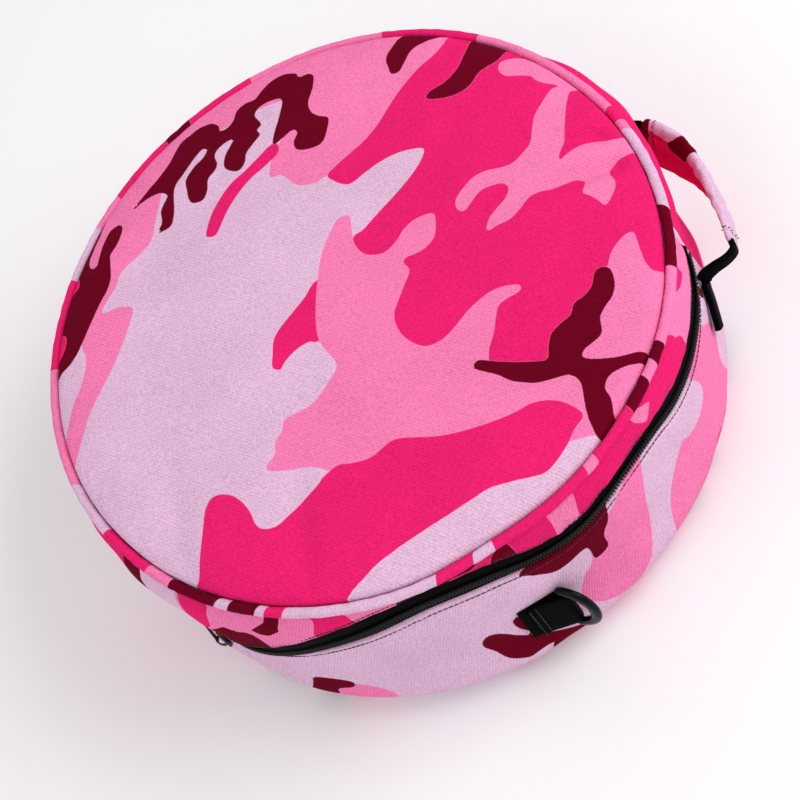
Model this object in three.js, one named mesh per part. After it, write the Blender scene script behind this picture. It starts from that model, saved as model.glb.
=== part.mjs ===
// A round padded bag for a diving regulator: two piped panels, a front wall split by a long zip,
// a plain back wall, a padded handle and two D-rings on webbing tabs. Millimetres, +Z up.
// The bag lies on its flat bottom panel at z = 0. The handle is on the +X side, the zip faces -Y.
import * as THREE from "three";

// Driving sizes
const seamRadius = 164.5;
const bagHeight = 121;
const clearance = 0.3;
const panelPad = 6;
const wallPad = 5;
const panelDome = 8.5;
const edgePuff = 4.5;
const panelCorner = 9;
const rimDrop = 1.5;
const pipingRadius = 2.8;
const pipingRise = 0.4;
const pipingLift = 1.4;
const bottomTuck = 3;
const bellyOut = 6.4;
const bulgeSize = 6;
const rimWaveSize = 2.6;
const creaseDepth = 2.6;

const zipFrom = 205;
const zipTo = 330;
const zipBand = 18;
const zipDip = 1.6;
const zipDipReach = 5;
const bandLeast = 2;
const tapeThick = 1.2;
const tapeInset = 1.1;
const coilWide = 4.4;
const coilThick = 2;
const coilDrop = 2.4;
const coilSeat = 0.6;
const coilEnd = 1.8;
const zipStep = 2.5;

const sliderLength = 11;
const sliderWide = 8.6;
const sliderThick = 2.6;
const sliderAt = 207.4;
const pullLength = 22;
const pullWide = 5;
const pullThick = 1.4;

const handleAt = -10;
const handleHalf = 20;
const handleHeight = 63;
const handleStand = 22.2;
const sleeveWide = 28;
const sleeveThick = 6.6;
const sleevePinch = 0.42;
const webbingWide = 25;
const webbingThick = 1.8;
const foldedWide = 8;
const foldedThick = 3.4;
const strapLay = 8;

const tabAt = 268.4;
const tabHeight = 45;
const tabLength = 23;
const tabWide = 25;
const tabThick = 1.7;
const ringWire = 4.2;
const ringInside = 27;
const ringReach = 17;
const ringTilt = 50;

// Shares along the zip from its left seam, up the wall, and of half the black band
const zipPath = [
  { along: 0, up: 0.53, half: 0.6 },
  { along: 0.08, up: 0.585, half: 0.9 },
  { along: 0.16, up: 0.675, half: 1 },
  { along: 0.26, up: 0.8, half: 1 },
  { along: 0.35, up: 0.865, half: 0.95 },
  { along: 0.44, up: 0.835, half: 1 },
  { along: 0.52, up: 0.755, half: 0.85 },
  { along: 0.58, up: 0.74, half: 0.75 },
  { along: 0.67, up: 0.795, half: 0.6 },
  { along: 0.73, up: 0.775, half: 0.62 },
  { along: 0.8, up: 0.695, half: 0.82 },
  { along: 0.9, up: 0.66, half: 0.9 },
  { along: 0.96, up: 0.69, half: 0.75 },
  { along: 0.985, up: 0.77, half: 0.42 },
  { along: 1, up: 0.86, half: 0.26 },
];

// How far the wall stands outside the seam circle, as shares of the belly, at shares of its height
const wallProfile = [
  { up: 0, out: -0.15 },
  { up: 0.04, out: 0.66 },
  { up: 0.11, out: 1.06 },
  { up: 0.22, out: 1.04 },
  { up: 0.5, out: 0.98 },
  { up: 0.8, out: 1 },
  { up: 0.94, out: 0.8 },
  { up: 1, out: 0.38 },
];

// Soft bulges and dents of the wall: where (degrees, share of height), how wide, and how much
const wallBulges = [
  { at: 262, wide: 46, up: 0.11, tall: 0.15, out: 1.1 },
  { at: 205, wide: 10, up: 0.48, tall: 0.2, out: -0.8 },
  { at: 203, wide: 30, up: 0.8, tall: 0.22, out: 0.72 },
  { at: 214, wide: 20, up: 0.28, tall: 0.2, out: -0.35 },
  { at: 250, wide: 13, up: 0.86, tall: 0.16, out: -0.4 },
  { at: 288, wide: 12, up: 0.8, tall: 0.14, out: 0.3 },
  { at: 344, wide: 20, up: 0.8, tall: 0.3, out: -0.55 },
  { at: 40, wide: 25, up: 0.6, tall: 0.35, out: 0.35 },
  { at: 120, wide: 22, up: 0.7, tall: 0.3, out: 0.45 },
];

// Where both rims leave the true circle
const rimWaves = [
  { at: 264, wide: 11, out: -1 },
  { at: 312, wide: 18, out: 0.7 },
  { at: 193, wide: 14, out: -0.3 },
];

// Soft creases of the top panel: place in degrees and share of the radius, run, half width and depth
const panelCreases = [
  { at: 354, from: 0.91, run: 328, length: 0.14, wide: 0.034, deep: 0.8 },
  { at: 346, from: 0.86, run: 340, length: 0.19, wide: 0.036, deep: 1 },
  { at: 201, from: 0.875, run: 66, length: 0.2, wide: 0.05, deep: 0.4 },
  { at: 230, from: 0.8, run: 64, length: 0.24, wide: 0.05, deep: 0.4 },
];

// Handle: shares of half its span each side of its middle, and of its stand-off
const handleRoute = [
  { along: -1, out: 0.14 },
  { along: -0.94, out: 0.55 },
  { along: -0.86, out: 0.9 },
  { along: -0.7, out: 0.95 },
  { along: -0.4, out: 1 },
  { along: -0.1, out: 1 },
  { along: 0.2, out: 0.9 },
  { along: 0.45, out: 0.7 },
  { along: 0.65, out: 0.48 },
  { along: 0.85, out: 0.25 },
  { along: 1, out: 0.11 },
];
const sleeveFrom = -0.74;
const sleeveTo = 0.62;

// Derived places
const bottomRadius = seamRadius - bottomTuck;
const pipingOut = clearance + pipingRadius;
const pipingTop = bagHeight - pipingRadius + pipingRise;
const pipingBottom = pipingRadius + pipingLift;
const wallLow = pipingBottom + pipingRadius + clearance;
const wallTop = pipingTop - pipingRadius - clearance;
const wallHeight = wallTop - wallLow;

const rad = THREE.MathUtils.degToRad;
const lerp = THREE.MathUtils.lerp;
const clamp = THREE.MathUtils.clamp;
const turnOf = (length, radius = seamRadius) => THREE.MathUtils.radToDeg(length / radius);
const discStep = 6;
const wallStep = 5;
const sleeveSteps = 16;

// A smooth curve through one column of a table
function follow(rows, key, column, x) {
  const last = rows.length - 1;
  let i = 0;
  while (i < last - 1 && x > rows[i + 1][key]) i += 1;
  const slope = (a, b) => (rows[b][column] - rows[a][column]) / (rows[b][key] - rows[a][key]);
  const into = (j) => slope(Math.max(j - 1, 0), Math.max(j, 1));
  const onward = (j) => slope(Math.min(j, last - 1), Math.min(j + 1, last));
  const bend = (j) => (into(j) + onward(j)) / 2;
  const span = rows[i + 1][key] - rows[i][key];
  const t = clamp((x - rows[i][key]) / span, 0, 1);
  const h = t * t * (3 - 2 * t);
  const level = lerp(rows[i][column], rows[i + 1][column], h);
  return level + span * t * (1 - t) * ((1 - t) * bend(i) - t * bend(i + 1));
}

function turnGap(a, b) {
  return ((((a - b) % 360) + 540) % 360) - 180;
}

function rimWave(at) {
  const sum = rimWaves.reduce((s, w) => s + w.out * Math.exp(-((turnGap(at, w.at) / w.wide) ** 2)), 0);
  return sum * rimWaveSize;
}

// Middle height of the zip, and half the height of its black band
function zipHeight(at) {
  return wallLow + wallHeight * follow(zipPath, "along", "up", (at - zipFrom) / (zipTo - zipFrom));
}

function zipHalf(at) {
  return (zipBand / 2) * follow(zipPath, "along", "half", (at - zipFrom) / (zipTo - zipFrom));
}

// Outer radius of the cloth wall
function wallRadius(at, z) {
  const up = clamp((z - wallLow) / wallHeight, 0, 1);
  const fade = Math.min(1, 14 * up * (1 - up));
  let bulge = 0;
  for (const b of wallBulges) {
    bulge += b.out * Math.exp(-((turnGap(at, b.at) / b.wide) ** 2) - ((up - b.up) / b.tall) ** 2);
  }
  const belly = bellyOut * follow(wallProfile, "up", "out", up);
  return seamRadius + rimWave(at) + belly + fade * bulge * bulgeSize;
}

// The wall drawn in along the zip
function bandRadius(at, z) {
  if (turnGap(at, zipFrom) < 0 || turnGap(zipTo, at) < 0) return wallRadius(at, z);
  const off = Math.max(0, Math.abs(z - zipHeight(at)) - zipHalf(at));
  return wallRadius(at, z) - zipDip * Math.exp(-((off / zipDipReach) ** 2));
}

function place(at, radius, z) {
  return new THREE.Vector3(radius * Math.cos(rad(at)), radius * Math.sin(rad(at)), z);
}

// One closed body through a row of closed sections. The ends are closed across the section or to
// a middle point, or the row runs round to its start.
function loft(sections, { round = false, fan = false } = {}) {
  const n = sections[0].length;
  const points = sections.flat();
  const faces = [];
  const rows = round ? sections.length : sections.length - 1;
  for (let i = 0; i < rows; i += 1) {
    const a = i * n;
    const b = ((i + 1) % sections.length) * n;
    for (let j = 0; j < n; j += 1) {
      const k = (j + 1) % n;
      faces.push([a + j, b + j, b + k], [a + j, b + k, a + k]);
    }
  }
  const closeEnd = (start, flip) => {
    const cover = (p, q, r) => faces.push(flip ? [p, r, q] : [p, q, r]);
    if (fan) {
      const middle = sections[start].reduce((s, p) => s.add(p), new THREE.Vector3()).divideScalar(n);
      points.push(middle);
      for (let j = 0; j < n; j += 1) cover(points.length - 1, start * n + j, start * n + ((j + 1) % n));
      return;
    }
    for (let j = 0; j < n / 2 - 1; j += 1) {
      const [p, q, r, s] = [j, j + 1, n - 2 - j, n - 1 - j].map((v) => start * n + v);
      cover(p, q, r);
      cover(p, r, s);
    }
  };
  if (!round) {
    closeEnd(0, false);
    closeEnd(sections.length - 1, true);
  }
  const geometry = new THREE.BufferGeometry();
  geometry.setAttribute("position", new THREE.Float32BufferAttribute(points.flatMap((p) => p.toArray()), 3));
  geometry.setIndex(faces.flat());
  if (signedVolume(geometry) < 0) geometry.setIndex(faces.flatMap(([p, q, r]) => [p, r, q]));
  geometry.computeVertexNormals();
  return geometry;
}

function signedVolume(geometry) {
  const { position } = geometry.attributes;
  const at = (i) => new THREE.Vector3().fromBufferAttribute(position, geometry.index.getX(i));
  let sum = 0;
  for (let i = 0; i < geometry.index.count; i += 3) sum += at(i).dot(at(i + 1).cross(at(i + 2)));
  return sum;
}

// Cloth
const bag = new THREE.Group();

function material(color, roughness, metalness = 0) {
  return new THREE.MeshStandardMaterial({ color, roughness, metalness });
}

const camoCloth = material(0xf06aa8, 0.9);
const pipingCloth = material(0xf3c6e0, 0.85);
const blackWebbing = material(0x0c0c0d, 0.8);
const zipCloth = material(0x0a0a10, 0.75);
const blackPlastic = material(0x060607, 0.35);
const blackMetal = material(0x101012, 0.4, 0.8);

function add(name, geometry, finish) {
  const mesh = new THREE.Mesh(geometry, finish);
  mesh.name = name;
  bag.add(mesh);
}

// A padded stretch of wall between two heights that may change along it
function wallStretch(from, to, step, low, high, levels) {
  const count = Math.round((to - from) / step);
  const sections = [];
  for (let i = 0; i <= count; i += 1) {
    const at = lerp(from, to, i / count);
    const outer = levels.map((t) => {
      const z = lerp(low(at), high(at), t);
      return place(at, bandRadius(at, z), z);
    });
    const inner = levels.map((t) => {
      const z = lerp(low(at), high(at), t);
      return place(at, bandRadius(at, z) - wallPad, z);
    });
    sections.push([...outer, ...inner.reverse()]);
  }
  return loft(sections);
}

function addWalls() {
  const low = () => wallLow;
  const high = () => wallTop;
  const underZip = (at) => zipHeight(at) - zipHalf(at);
  const overZip = (at) => Math.min(zipHeight(at) + zipHalf(at), wallTop - bandLeast);
  const lowLevels = [0, 0.06, 0.16, 0.3, 0.48, 0.7, 0.88, 1];
  const highLevels = [0, 0.4, 0.8, 1];
  const backLevels = [0, 0.05, 0.12, 0.24, 0.42, 0.6, 0.8, 0.94, 1];
  const backFrom = zipTo + turnOf(clearance);
  const backTo = zipFrom + 360 - turnOf(clearance);
  add("lower_band", wallStretch(zipFrom, zipTo, zipStep, low, underZip, lowLevels), camoCloth);
  add("upper_band", wallStretch(zipFrom, zipTo, zipStep, overZip, high, highLevels), camoCloth);
  add("hinge_panel", wallStretch(backFrom, backTo, wallStep, low, high, backLevels), camoCloth);
}

function pipingLoop(radius, z) {
  const sections = [];
  for (let at = 0; at < 360; at += 5) {
    const ring = radius + pipingOut + rimWave(at);
    const section = [];
    for (let j = 0; j < 8; j += 1) {
      const turn = rad(j * 45 + 22.5);
      section.push(place(at, ring + pipingRadius * Math.cos(turn), z + pipingRadius * Math.sin(turn)));
    }
    sections.push(section);
  }
  return loft(sections, { round: true });
}

// How far the soft creases press the top panel in at a point
function creaseAt(at, share) {
  let deep = 0;
  const x = share * Math.cos(rad(at));
  const y = share * Math.sin(rad(at));
  for (const c of panelCreases) {
    const dx = x - c.from * Math.cos(rad(c.at));
    const dy = y - c.from * Math.sin(rad(c.at));
    const run = rad(c.run);
    const along = dx * Math.cos(run) + dy * Math.sin(run);
    const across = -dx * Math.sin(run) + dy * Math.cos(run);
    deep += c.deep * Math.exp(-((along / c.length) ** 2) - (across / c.wide) ** 2);
  }
  return deep * creaseDepth;
}

// A padded disc from rings that run out over its outer face, round its rim and back in under its lining
function paddedDisc(radius, rings) {
  const sections = rings.map((ring) => {
    const section = [];
    for (let at = 0; at < 360; at += discStep) {
      section.push(place(at, (radius + rimWave(at)) * ring.share, ring.z(at, ring.share)));
    }
    return section;
  });
  return loft(sections, { fan: true });
}

function addPanels() {
  const rimLow = wallTop + clearance;
  const edge = (seamRadius - panelCorner) / seamRadius;
  const faceZ = (at, share) => {
    const dome = bagHeight + edgePuff + (panelDome - edgePuff) * (1 - (share / edge) ** 2);
    return dome - (share < edge ? creaseAt(at, share) : 0);
  };
  const corner = (t) => ({
    share: lerp(edge, 1, Math.sin(rad(90 * t))),
    z: (at) => lerp(bagHeight - rimDrop, faceZ(at, edge), Math.cos(rad(90 * t))),
  });
  const top = [
    ...[0.12, 0.32, 0.5, 0.66, 0.78, 0.86].map((s) => ({ share: s, z: faceZ })),
    ...[0, 0.3, 0.62, 1].map(corner),
    { share: 1, z: () => rimLow },
    { share: edge, z: () => rimLow + clearance },
    { share: 0.6, z: () => bagHeight + lerp(edgePuff, panelDome, 0.6) - panelPad },
    { share: 0.2, z: () => bagHeight + panelDome - panelPad },
  ];
  add("top_panel", paddedDisc(seamRadius, top), camoCloth);

  const rimHigh = wallLow - clearance;
  const bottomEdge = (bottomRadius - panelCorner) / bottomRadius;
  const bottom = [
    { share: 0.3, z: () => 0 },
    { share: bottomEdge, z: () => 0 },
    { share: lerp(bottomEdge, 1, 0.6), z: () => pipingLift * 0.6 },
    { share: 1, z: () => pipingLift * 1.7 },
    { share: 1, z: () => rimHigh },
    { share: bottomEdge, z: () => rimHigh },
    { share: 0.3, z: () => panelPad },
  ];
  add("bottom_panel", paddedDisc(bottomRadius, bottom), camoCloth);
  add("top_piping", pipingLoop(seamRadius, pipingTop), pipingCloth);
  add("bottom_piping", pipingLoop(bottomRadius, pipingBottom), pipingCloth);
}

// Zip
function zipMeet(at) {
  return zipHeight(at) - coilDrop * (zipHalf(at) / (zipBand / 2));
}

function tapeFace(at, z) {
  return bandRadius(at, z) - tapeInset;
}

function zipStations() {
  const count = Math.round((zipTo - zipFrom) / zipStep);
  return Array.from({ length: count + 1 }, (_, i) => lerp(zipFrom, zipTo, i / count));
}

function zipStrip(low, high) {
  const sections = [];
  for (const at of zipStations()) {
    const zs = [low(at), high(at)];
    const outer = zs.map((z) => place(at, tapeFace(at, z), z));
    const inner = zs.map((z) => place(at, tapeFace(at, z) - tapeThick, z));
    sections.push([...outer, ...inner.reverse()]);
  }
  return loft(sections);
}

function addZip() {
  const gap = clearance / 2;
  const underZip = (at) => zipHeight(at) - zipHalf(at) + clearance;
  const overZip = (at) => Math.min(zipHeight(at) + zipHalf(at), wallTop - bandLeast) - clearance;
  add("zip_tape_lower", zipStrip(underZip, (at) => zipMeet(at) - gap), zipCloth);
  add("zip_tape_upper", zipStrip((at) => zipMeet(at) + gap, overZip), zipCloth);
  const coil = [];
  for (const station of zipStations()) {
    const at = clamp(station, zipFrom + turnOf(coilEnd), zipTo - turnOf(coilEnd));
    const z = zipMeet(at);
    const reach = (coilWide / 2) * clamp(zipHalf(at) / (zipBand / 2) + 0.15, 0.3, 1);
    const base = tapeFace(at, z) + coilSeat;
    coil.push([
      place(at, base, z - reach),
      place(at, base + coilThick * 0.7, z - reach * 0.8),
      place(at, base + coilThick, z - reach * 0.3),
      place(at, base + coilThick, z + reach * 0.3),
      place(at, base + coilThick * 0.7, z + reach * 0.8),
      place(at, base, z + reach),
    ]);
  }
  add("zip_coil", loft(coil), blackPlastic);
}

// The slider waits at the closed left end, and its pull lies past it on the plain wall
function addSlider() {
  const z = zipMeet(sliderAt);
  const half = turnOf(sliderLength / 2);
  const seat = (at) => tapeFace(at, zipMeet(at)) + coilSeat + coilThick + 2 * clearance;
  const plate = [
    { along: -1, wide: 0.45 },
    { along: -0.5, wide: 0.8 },
    { along: 0.3, wide: 1 },
    { along: 1, wide: 0.85 },
  ].map(({ along, wide }) => {
    const at = sliderAt + along * half;
    const zMid = zipMeet(at);
    const base = seat(at);
    const reach = (sliderWide / 2) * wide;
    return [
      place(at, base, zMid - reach),
      place(at, base + sliderThick, zMid - reach * 0.8),
      place(at, base + sliderThick, zMid + reach * 0.8),
      place(at, base, zMid + reach),
    ];
  });
  add("zip_slider", loft(plate), blackMetal);
  const pullOut = seat(sliderAt) + sliderThick + clearance;
  const [from, to] = [0.1, 1].map((t) => place(sliderAt - turnOf(pullLength * t), pullOut, z));
  const outward = place(sliderAt - turnOf(pullLength / 2), 1, 0);
  const pull = [0, 0.22, 0.85, 1].map((t) => {
    const reach = (pullWide / 2) * (t === 0 || t === 1 ? 0.6 : 1);
    const corner = (out, rise) => from.clone().lerp(to, t).addScaledVector(outward, out).setZ(z + rise);
    return [corner(0, -reach), corner(pullThick, -reach), corner(pullThick, reach), corner(0, reach)];
  });
  add("zip_pull", loft(pull), blackMetal);
}

// A flat strap or pad along a route. Each stop has a point and the direction of its width,
// and may have its run and a share of the full width.
function strap(stops, outline) {
  const sections = stops.map((stop, i) => {
    const before = stops[Math.max(i - 1, 0)].point;
    const after = stops[Math.min(i + 1, stops.length - 1)].point;
    const run = stop.run ?? after.clone().sub(before).normalize();
    const across = stop.across.clone().addScaledVector(run, -stop.across.dot(run)).normalize();
    const face = run.clone().cross(across);
    across.multiplyScalar(stop.wide ?? 1);
    return outline.map(([w, t]) => stop.point.clone().addScaledVector(across, w).addScaledVector(face, t));
  });
  return loft(sections);
}

function flatOutline(wide, thick) {
  return [[-wide / 2, -thick / 2], [-wide / 2, thick / 2], [wide / 2, thick / 2], [wide / 2, -thick / 2]];
}

function handleStop(along, z, thick) {
  const at = handleAt + handleHalf * along;
  const rest = clearance + thick / 2;
  const out = handleStand * follow(handleRoute, "along", "out", clamp(along, -1, 1));
  const point = place(at, wallRadius(at, z) + Math.max(rest, out), z);
  return { point, across: new THREE.Vector3(0, 0, 1) };
}

// The way that the handle runs where its sleeve ends, so that sleeve and strap meet face to face
function handleRun(along) {
  const nearby = [along - 0.02, along + 0.02].map((t) => handleStop(t, handleHeight, sleeveThick).point);
  return nearby[1].sub(nearby[0]).normalize();
}

function addHandle() {
  const sleeve = [];
  for (let i = 0; i <= sleeveSteps; i += 1) {
    const along = lerp(sleeveFrom, sleeveTo, i / sleeveSteps);
    const pinched = THREE.MathUtils.smoothstep(along / sleeveFrom, 0, 1);
    sleeve.push({ ...handleStop(along, handleHeight, sleeveThick), wide: 1 - sleevePinch * pinched });
  }
  sleeve[0].run = handleRun(sleeveFrom);
  sleeve[sleeveSteps].run = handleRun(sleeveTo);
  const [w, t] = [sleeveWide / 2, sleeveThick / 2];
  const sleeveOutline = [[-w, 0], [-w * 0.86, t * 0.75], [-w * 0.45, t], [w * 0.45, t], [w * 0.86, t * 0.75],
    [w, 0], [w * 0.86, -t * 0.75], [w * 0.45, -t], [-w * 0.45, -t], [-w * 0.86, -t * 0.75]];
  add("handle_sleeve", strap(sleeve, sleeveOutline), camoCloth);

  const gap = clearance / (rad(handleHalf) * (seamRadius + handleStand));
  const far = [sleeveTo + gap, 0.72, 0.82, 0.9, 0.97, 1.05, 1.15, 1 + strapLay / handleHalf];
  const farStops = far.map((t) => handleStop(t, handleHeight, webbingThick));
  farStops[0].run = sleeve[sleeveSteps].run;
  add("strap_far", strap(farStops, flatOutline(webbingWide, webbingThick)), blackWebbing);

  // The near strap is folded lengthwise. It turns down where it meets the wall.
  const nearRows = [
    { along: sleeveFrom - gap, rise: 0.03, turn: 0, lift: 0 },
    { along: -0.82, rise: 0.06, turn: 0, lift: 0 },
    { along: -0.9, rise: 0.09, turn: 0, lift: 0 },
    { along: -0.96, rise: 0.1, turn: 10, lift: 0 },
    { along: -1.01, rise: 0.07, turn: 30, lift: 0.5 },
    { along: -1.06, rise: -0.03, turn: 60, lift: 0.35 },
    { along: -1.14, rise: -0.14, turn: 68, lift: 0.2 },
    { along: -1.22, rise: -0.24, turn: 70, lift: 0.15 },
    { along: -1.28, rise: -0.31, turn: 70, lift: 0.1 },
  ];
  const near = nearRows.map(({ along, rise, turn, lift }) => {
    const stop = handleStop(along, handleHeight * (1 + rise), foldedThick * (1 + 2 * lift));
    const at = rad(handleAt + handleHalf * along);
    const side = new THREE.Vector3(-Math.sin(at), Math.cos(at), 0);
    stop.across = new THREE.Vector3(0, 0, Math.cos(rad(turn))).addScaledVector(side, Math.sin(rad(turn)));
    return stop;
  });
  near[0].run = sleeve[0].run.clone().negate();
  add("strap_near", strap(near, flatOutline(foldedWide, foldedThick)), blackWebbing);
}

// A tab of webbing folded round the bar of its D-ring. `side` is the way that the ring points round the bag.
function addRing(name, at, side) {
  const degrees = (length) => turnOf(length, seamRadius + bellyOut);
  const half = tabWide / 2;
  const wallAt = (where, rise) => wallRadius(where, tabHeight + rise);
  const lean = (wallAt(at, half) - wallAt(at, -half)) / tabWide;
  const wire = ringWire / 2;
  const bow = wire + clearance + tabThick / 2;
  const layLow = clearance + tabThick / 2;
  const barOut = layLow + bow;
  const stop = (length, out) => {
    const where = at + side * degrees(length);
    const rest = Math.max(...[-half, 0, half].map((rise) => wallAt(where, rise) - lean * rise));
    const point = place(where, rest, tabHeight).addScaledVector(place(at, 1, -lean).normalize(), out);
    return { point, across: place(at, lean, 1).normalize() };
  };
  const stops = [0, 0.25, 0.5, 0.75, 1].map((t) => stop(-tabLength * (1 - t), layLow));
  for (const turn of [-60, -30, 0, 30, 60, 90]) {
    stops.push(stop(bow * Math.cos(rad(turn)), barOut + bow * Math.sin(rad(turn))));
  }
  for (const t of [0.2, 0.4, 0.6, 0.8]) {
    const out = lerp(barOut + bow, layLow + tabThick + clearance, Math.min(1, t * 1.7));
    stops.push(stop(-tabLength * t, out));
  }
  add("ring_tab_" + name, strap(stops, flatOutline(tabWide, tabThick)), blackWebbing);

  const { point: middle, across: up } = stop(0, barOut);
  const round = rad(at);
  const outward = place(at, 1, -lean).normalize();
  const along = new THREE.Vector3(-Math.sin(round), Math.cos(round), 0).multiplyScalar(side);
  const reachWay = along.multiplyScalar(Math.cos(rad(ringTilt)));
  reachWay.addScaledVector(outward, Math.sin(rad(ringTilt)));
  const halfBar = ringInside / 2 + wire;
  const centre = [];
  for (let i = 0; i < 4; i += 1) centre.push([0, lerp(-halfBar, halfBar, (i + 0.5) / 4)]);
  for (let i = 0; i <= 12; i += 1) {
    const turn = rad(90 - i * 15);
    centre.push([(ringReach - wire) * Math.cos(turn) ** 0.8, halfBar * Math.sin(turn)]);
  }
  const normal = reachWay.clone().cross(up);
  const sections = centre.map(([x, z], i) => {
    const before = centre[(i + centre.length - 1) % centre.length];
    const after = centre[(i + 1) % centre.length];
    const run = new THREE.Vector2(after[0] - before[0], after[1] - before[1]).normalize();
    const section = [];
    for (let j = 0; j < 8; j += 1) {
      const turn = rad(j * 45);
      const p = middle.clone().addScaledVector(reachWay, x).addScaledVector(up, z);
      p.addScaledVector(reachWay, run.y * wire * Math.cos(turn));
      p.addScaledVector(up, -run.x * wire * Math.cos(turn));
      section.push(p.addScaledVector(normal, wire * Math.sin(turn)));
    }
    return section;
  });
  add("ring_" + name, loft(sections, { round: true }), blackPlastic);
}

addWalls();
addPanels();
addZip();
addSlider();
addHandle();
addRing("front", tabAt, 1);
addRing("back", 2 * handleAt + 720 - tabAt, -1);

export default bag;
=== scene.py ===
import math
import bpy
import numpy as np
from mathutils import Matrix, Vector


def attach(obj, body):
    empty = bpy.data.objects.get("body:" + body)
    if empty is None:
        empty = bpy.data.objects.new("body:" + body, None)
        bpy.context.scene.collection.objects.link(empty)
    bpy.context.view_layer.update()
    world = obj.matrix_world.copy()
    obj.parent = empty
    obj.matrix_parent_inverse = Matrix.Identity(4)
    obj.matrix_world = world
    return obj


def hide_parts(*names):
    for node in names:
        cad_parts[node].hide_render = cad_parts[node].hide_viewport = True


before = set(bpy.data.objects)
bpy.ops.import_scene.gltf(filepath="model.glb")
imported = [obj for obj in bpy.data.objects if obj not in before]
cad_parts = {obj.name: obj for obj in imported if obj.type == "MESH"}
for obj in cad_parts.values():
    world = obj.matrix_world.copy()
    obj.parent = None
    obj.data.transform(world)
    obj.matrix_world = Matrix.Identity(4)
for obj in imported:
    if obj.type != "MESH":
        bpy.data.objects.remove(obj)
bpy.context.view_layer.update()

# A round padded regulator bag in camouflage cloth. Lengths here are in millimetres and angles in
# degrees round the bag from +X. Meshes are turned into metres as they are made.
mm = 0.001

bag = dict(seamRadius=164.5, height=121, gap=0.3, belly=6.4, bulge=6, rimWave=2.6,
           lidDome=8.5, edgePuff=4.5, lidPad=6, wallPad=5, corner=9, rimDrop=1.5, crease=2.6,
           bottomTuck=3, bulgeFade=14)
cord = dict(radius=2.8, rise=0.4, lift=1.4)
zipper = dict(start=205, end=330, band=18, turnOut=1.6, reach=5, tape=1.2, inset=1.1, coilWide=4.4,
              coilThick=2, drop=2.4, seat=0.6, least=2, fade=24, fadePower=0.7, proudReach=2)
zipDip = dict(at=[205, 208, 212, 217, 222, 229, 236, 314, 321, 326, 330],
              deep=[0, -2, -2.8, -2, -0.8, 1, 1.6, 1.6, 0.6, -0.4, -0.4])
zipPath = dict(along=[0, 0.08, 0.16, 0.26, 0.35, 0.44, 0.52, 0.58, 0.67, 0.73, 0.8, 0.9, 0.96, 0.985, 1],
               up=[0.53, 0.585, 0.675, 0.8, 0.865, 0.835, 0.755, 0.74, 0.795, 0.775, 0.695, 0.66, 0.69,
                   0.77, 0.86],
               half=[0.6, 0.9, 1, 1, 0.95, 1, 0.85, 0.75, 0.6, 0.62, 0.82, 0.9, 0.75, 0.42, 0.26])
wallProfile = dict(up=[0, 0.04, 0.11, 0.22, 0.5, 0.8, 0.94, 1],
                   out=[-0.15, 0.66, 1.06, 1.04, 0.98, 1, 0.8, 0.38])
wallBulges = dict(at=[262, 205, 203, 214, 250, 288, 344, 40, 120, 6],
                  wide=[46, 10, 30, 20, 13, 12, 20, 25, 22, 26],
                  up=[0.11, 0.48, 0.8, 0.28, 0.86, 0.8, 0.8, 0.6, 0.7, 0.86],
                  tall=[0.15, 0.2, 0.22, 0.2, 0.16, 0.14, 0.3, 0.35, 0.3, 0.17],
                  out=[1.1, -0.8, 0.72, -0.35, -0.4, 0.3, -0.55, 0.35, 0.45, 1.4])
rimWaves = dict(at=[264, 312, 193, 10], wide=[11, 18, 14, 24], out=[-1, 0.7, -0.3, -1.1])
lidCreases = dict(at=[354, 346, 201, 230], start=[0.91, 0.86, 0.875, 0.8], run=[328, 340, 66, 64],
                  length=[0.14, 0.19, 0.2, 0.24], wide=[0.038, 0.04, 0.05, 0.05], deep=[1.9, 2.1, 0.9, 0.9])

bottomRadius = bag["seamRadius"] - bag["bottomTuck"]
cordOut = bag["gap"] + cord["radius"]
cordTop = bag["height"] - cord["radius"] + cord["rise"]
cordBottom = cord["radius"] + cord["lift"]
wallLow = cordBottom + cord["radius"] + bag["gap"]
wallTop = cordTop - cord["radius"] - bag["gap"]


def follow(table, key, column, x):
    # a smooth curve through one column of a table
    xs, ys = np.array(table[key], float), np.array(table[column], float)
    x = np.asarray(x, float)
    slope = np.diff(ys) / np.diff(xs)
    bend = np.concatenate([slope[:1], (slope[:-1] + slope[1:]) / 2, slope[-1:]])
    i = np.searchsorted(xs[1:-1], x)
    span = xs[i + 1] - xs[i]
    t = np.clip((x - xs[i]) / span, 0, 1)
    level = ys[i] + (ys[i + 1] - ys[i]) * t * t * (3 - 2 * t)
    return level + span * t * (1 - t) * ((1 - t) * bend[i] - t * bend[i + 1])


def turnGap(a, b):
    return ((a - b) % 360 + 540) % 360 - 180


def rows(table):
    return [dict(zip(table, values)) for values in zip(*table.values())]


def rimWave(at):
    waves = (w["out"] * np.exp(-(turnGap(at, w["at"]) / w["wide"]) ** 2) for w in rows(rimWaves))
    return bag["rimWave"] * sum(waves)


def zipCurve(at, column):
    share = (at - zipper["start"]) / (zipper["end"] - zipper["start"])
    return follow(zipPath, "along", column, share)


def zipHeight(at):
    return wallLow + (wallTop - wallLow) * zipCurve(at, "up")


def zipHalf(at):
    return zipper["band"] / 2 * zipCurve(at, "half")


def zipMeet(at):
    return zipHeight(at) - zipper["drop"] * zipHalf(at) * 2 / zipper["band"]


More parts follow.
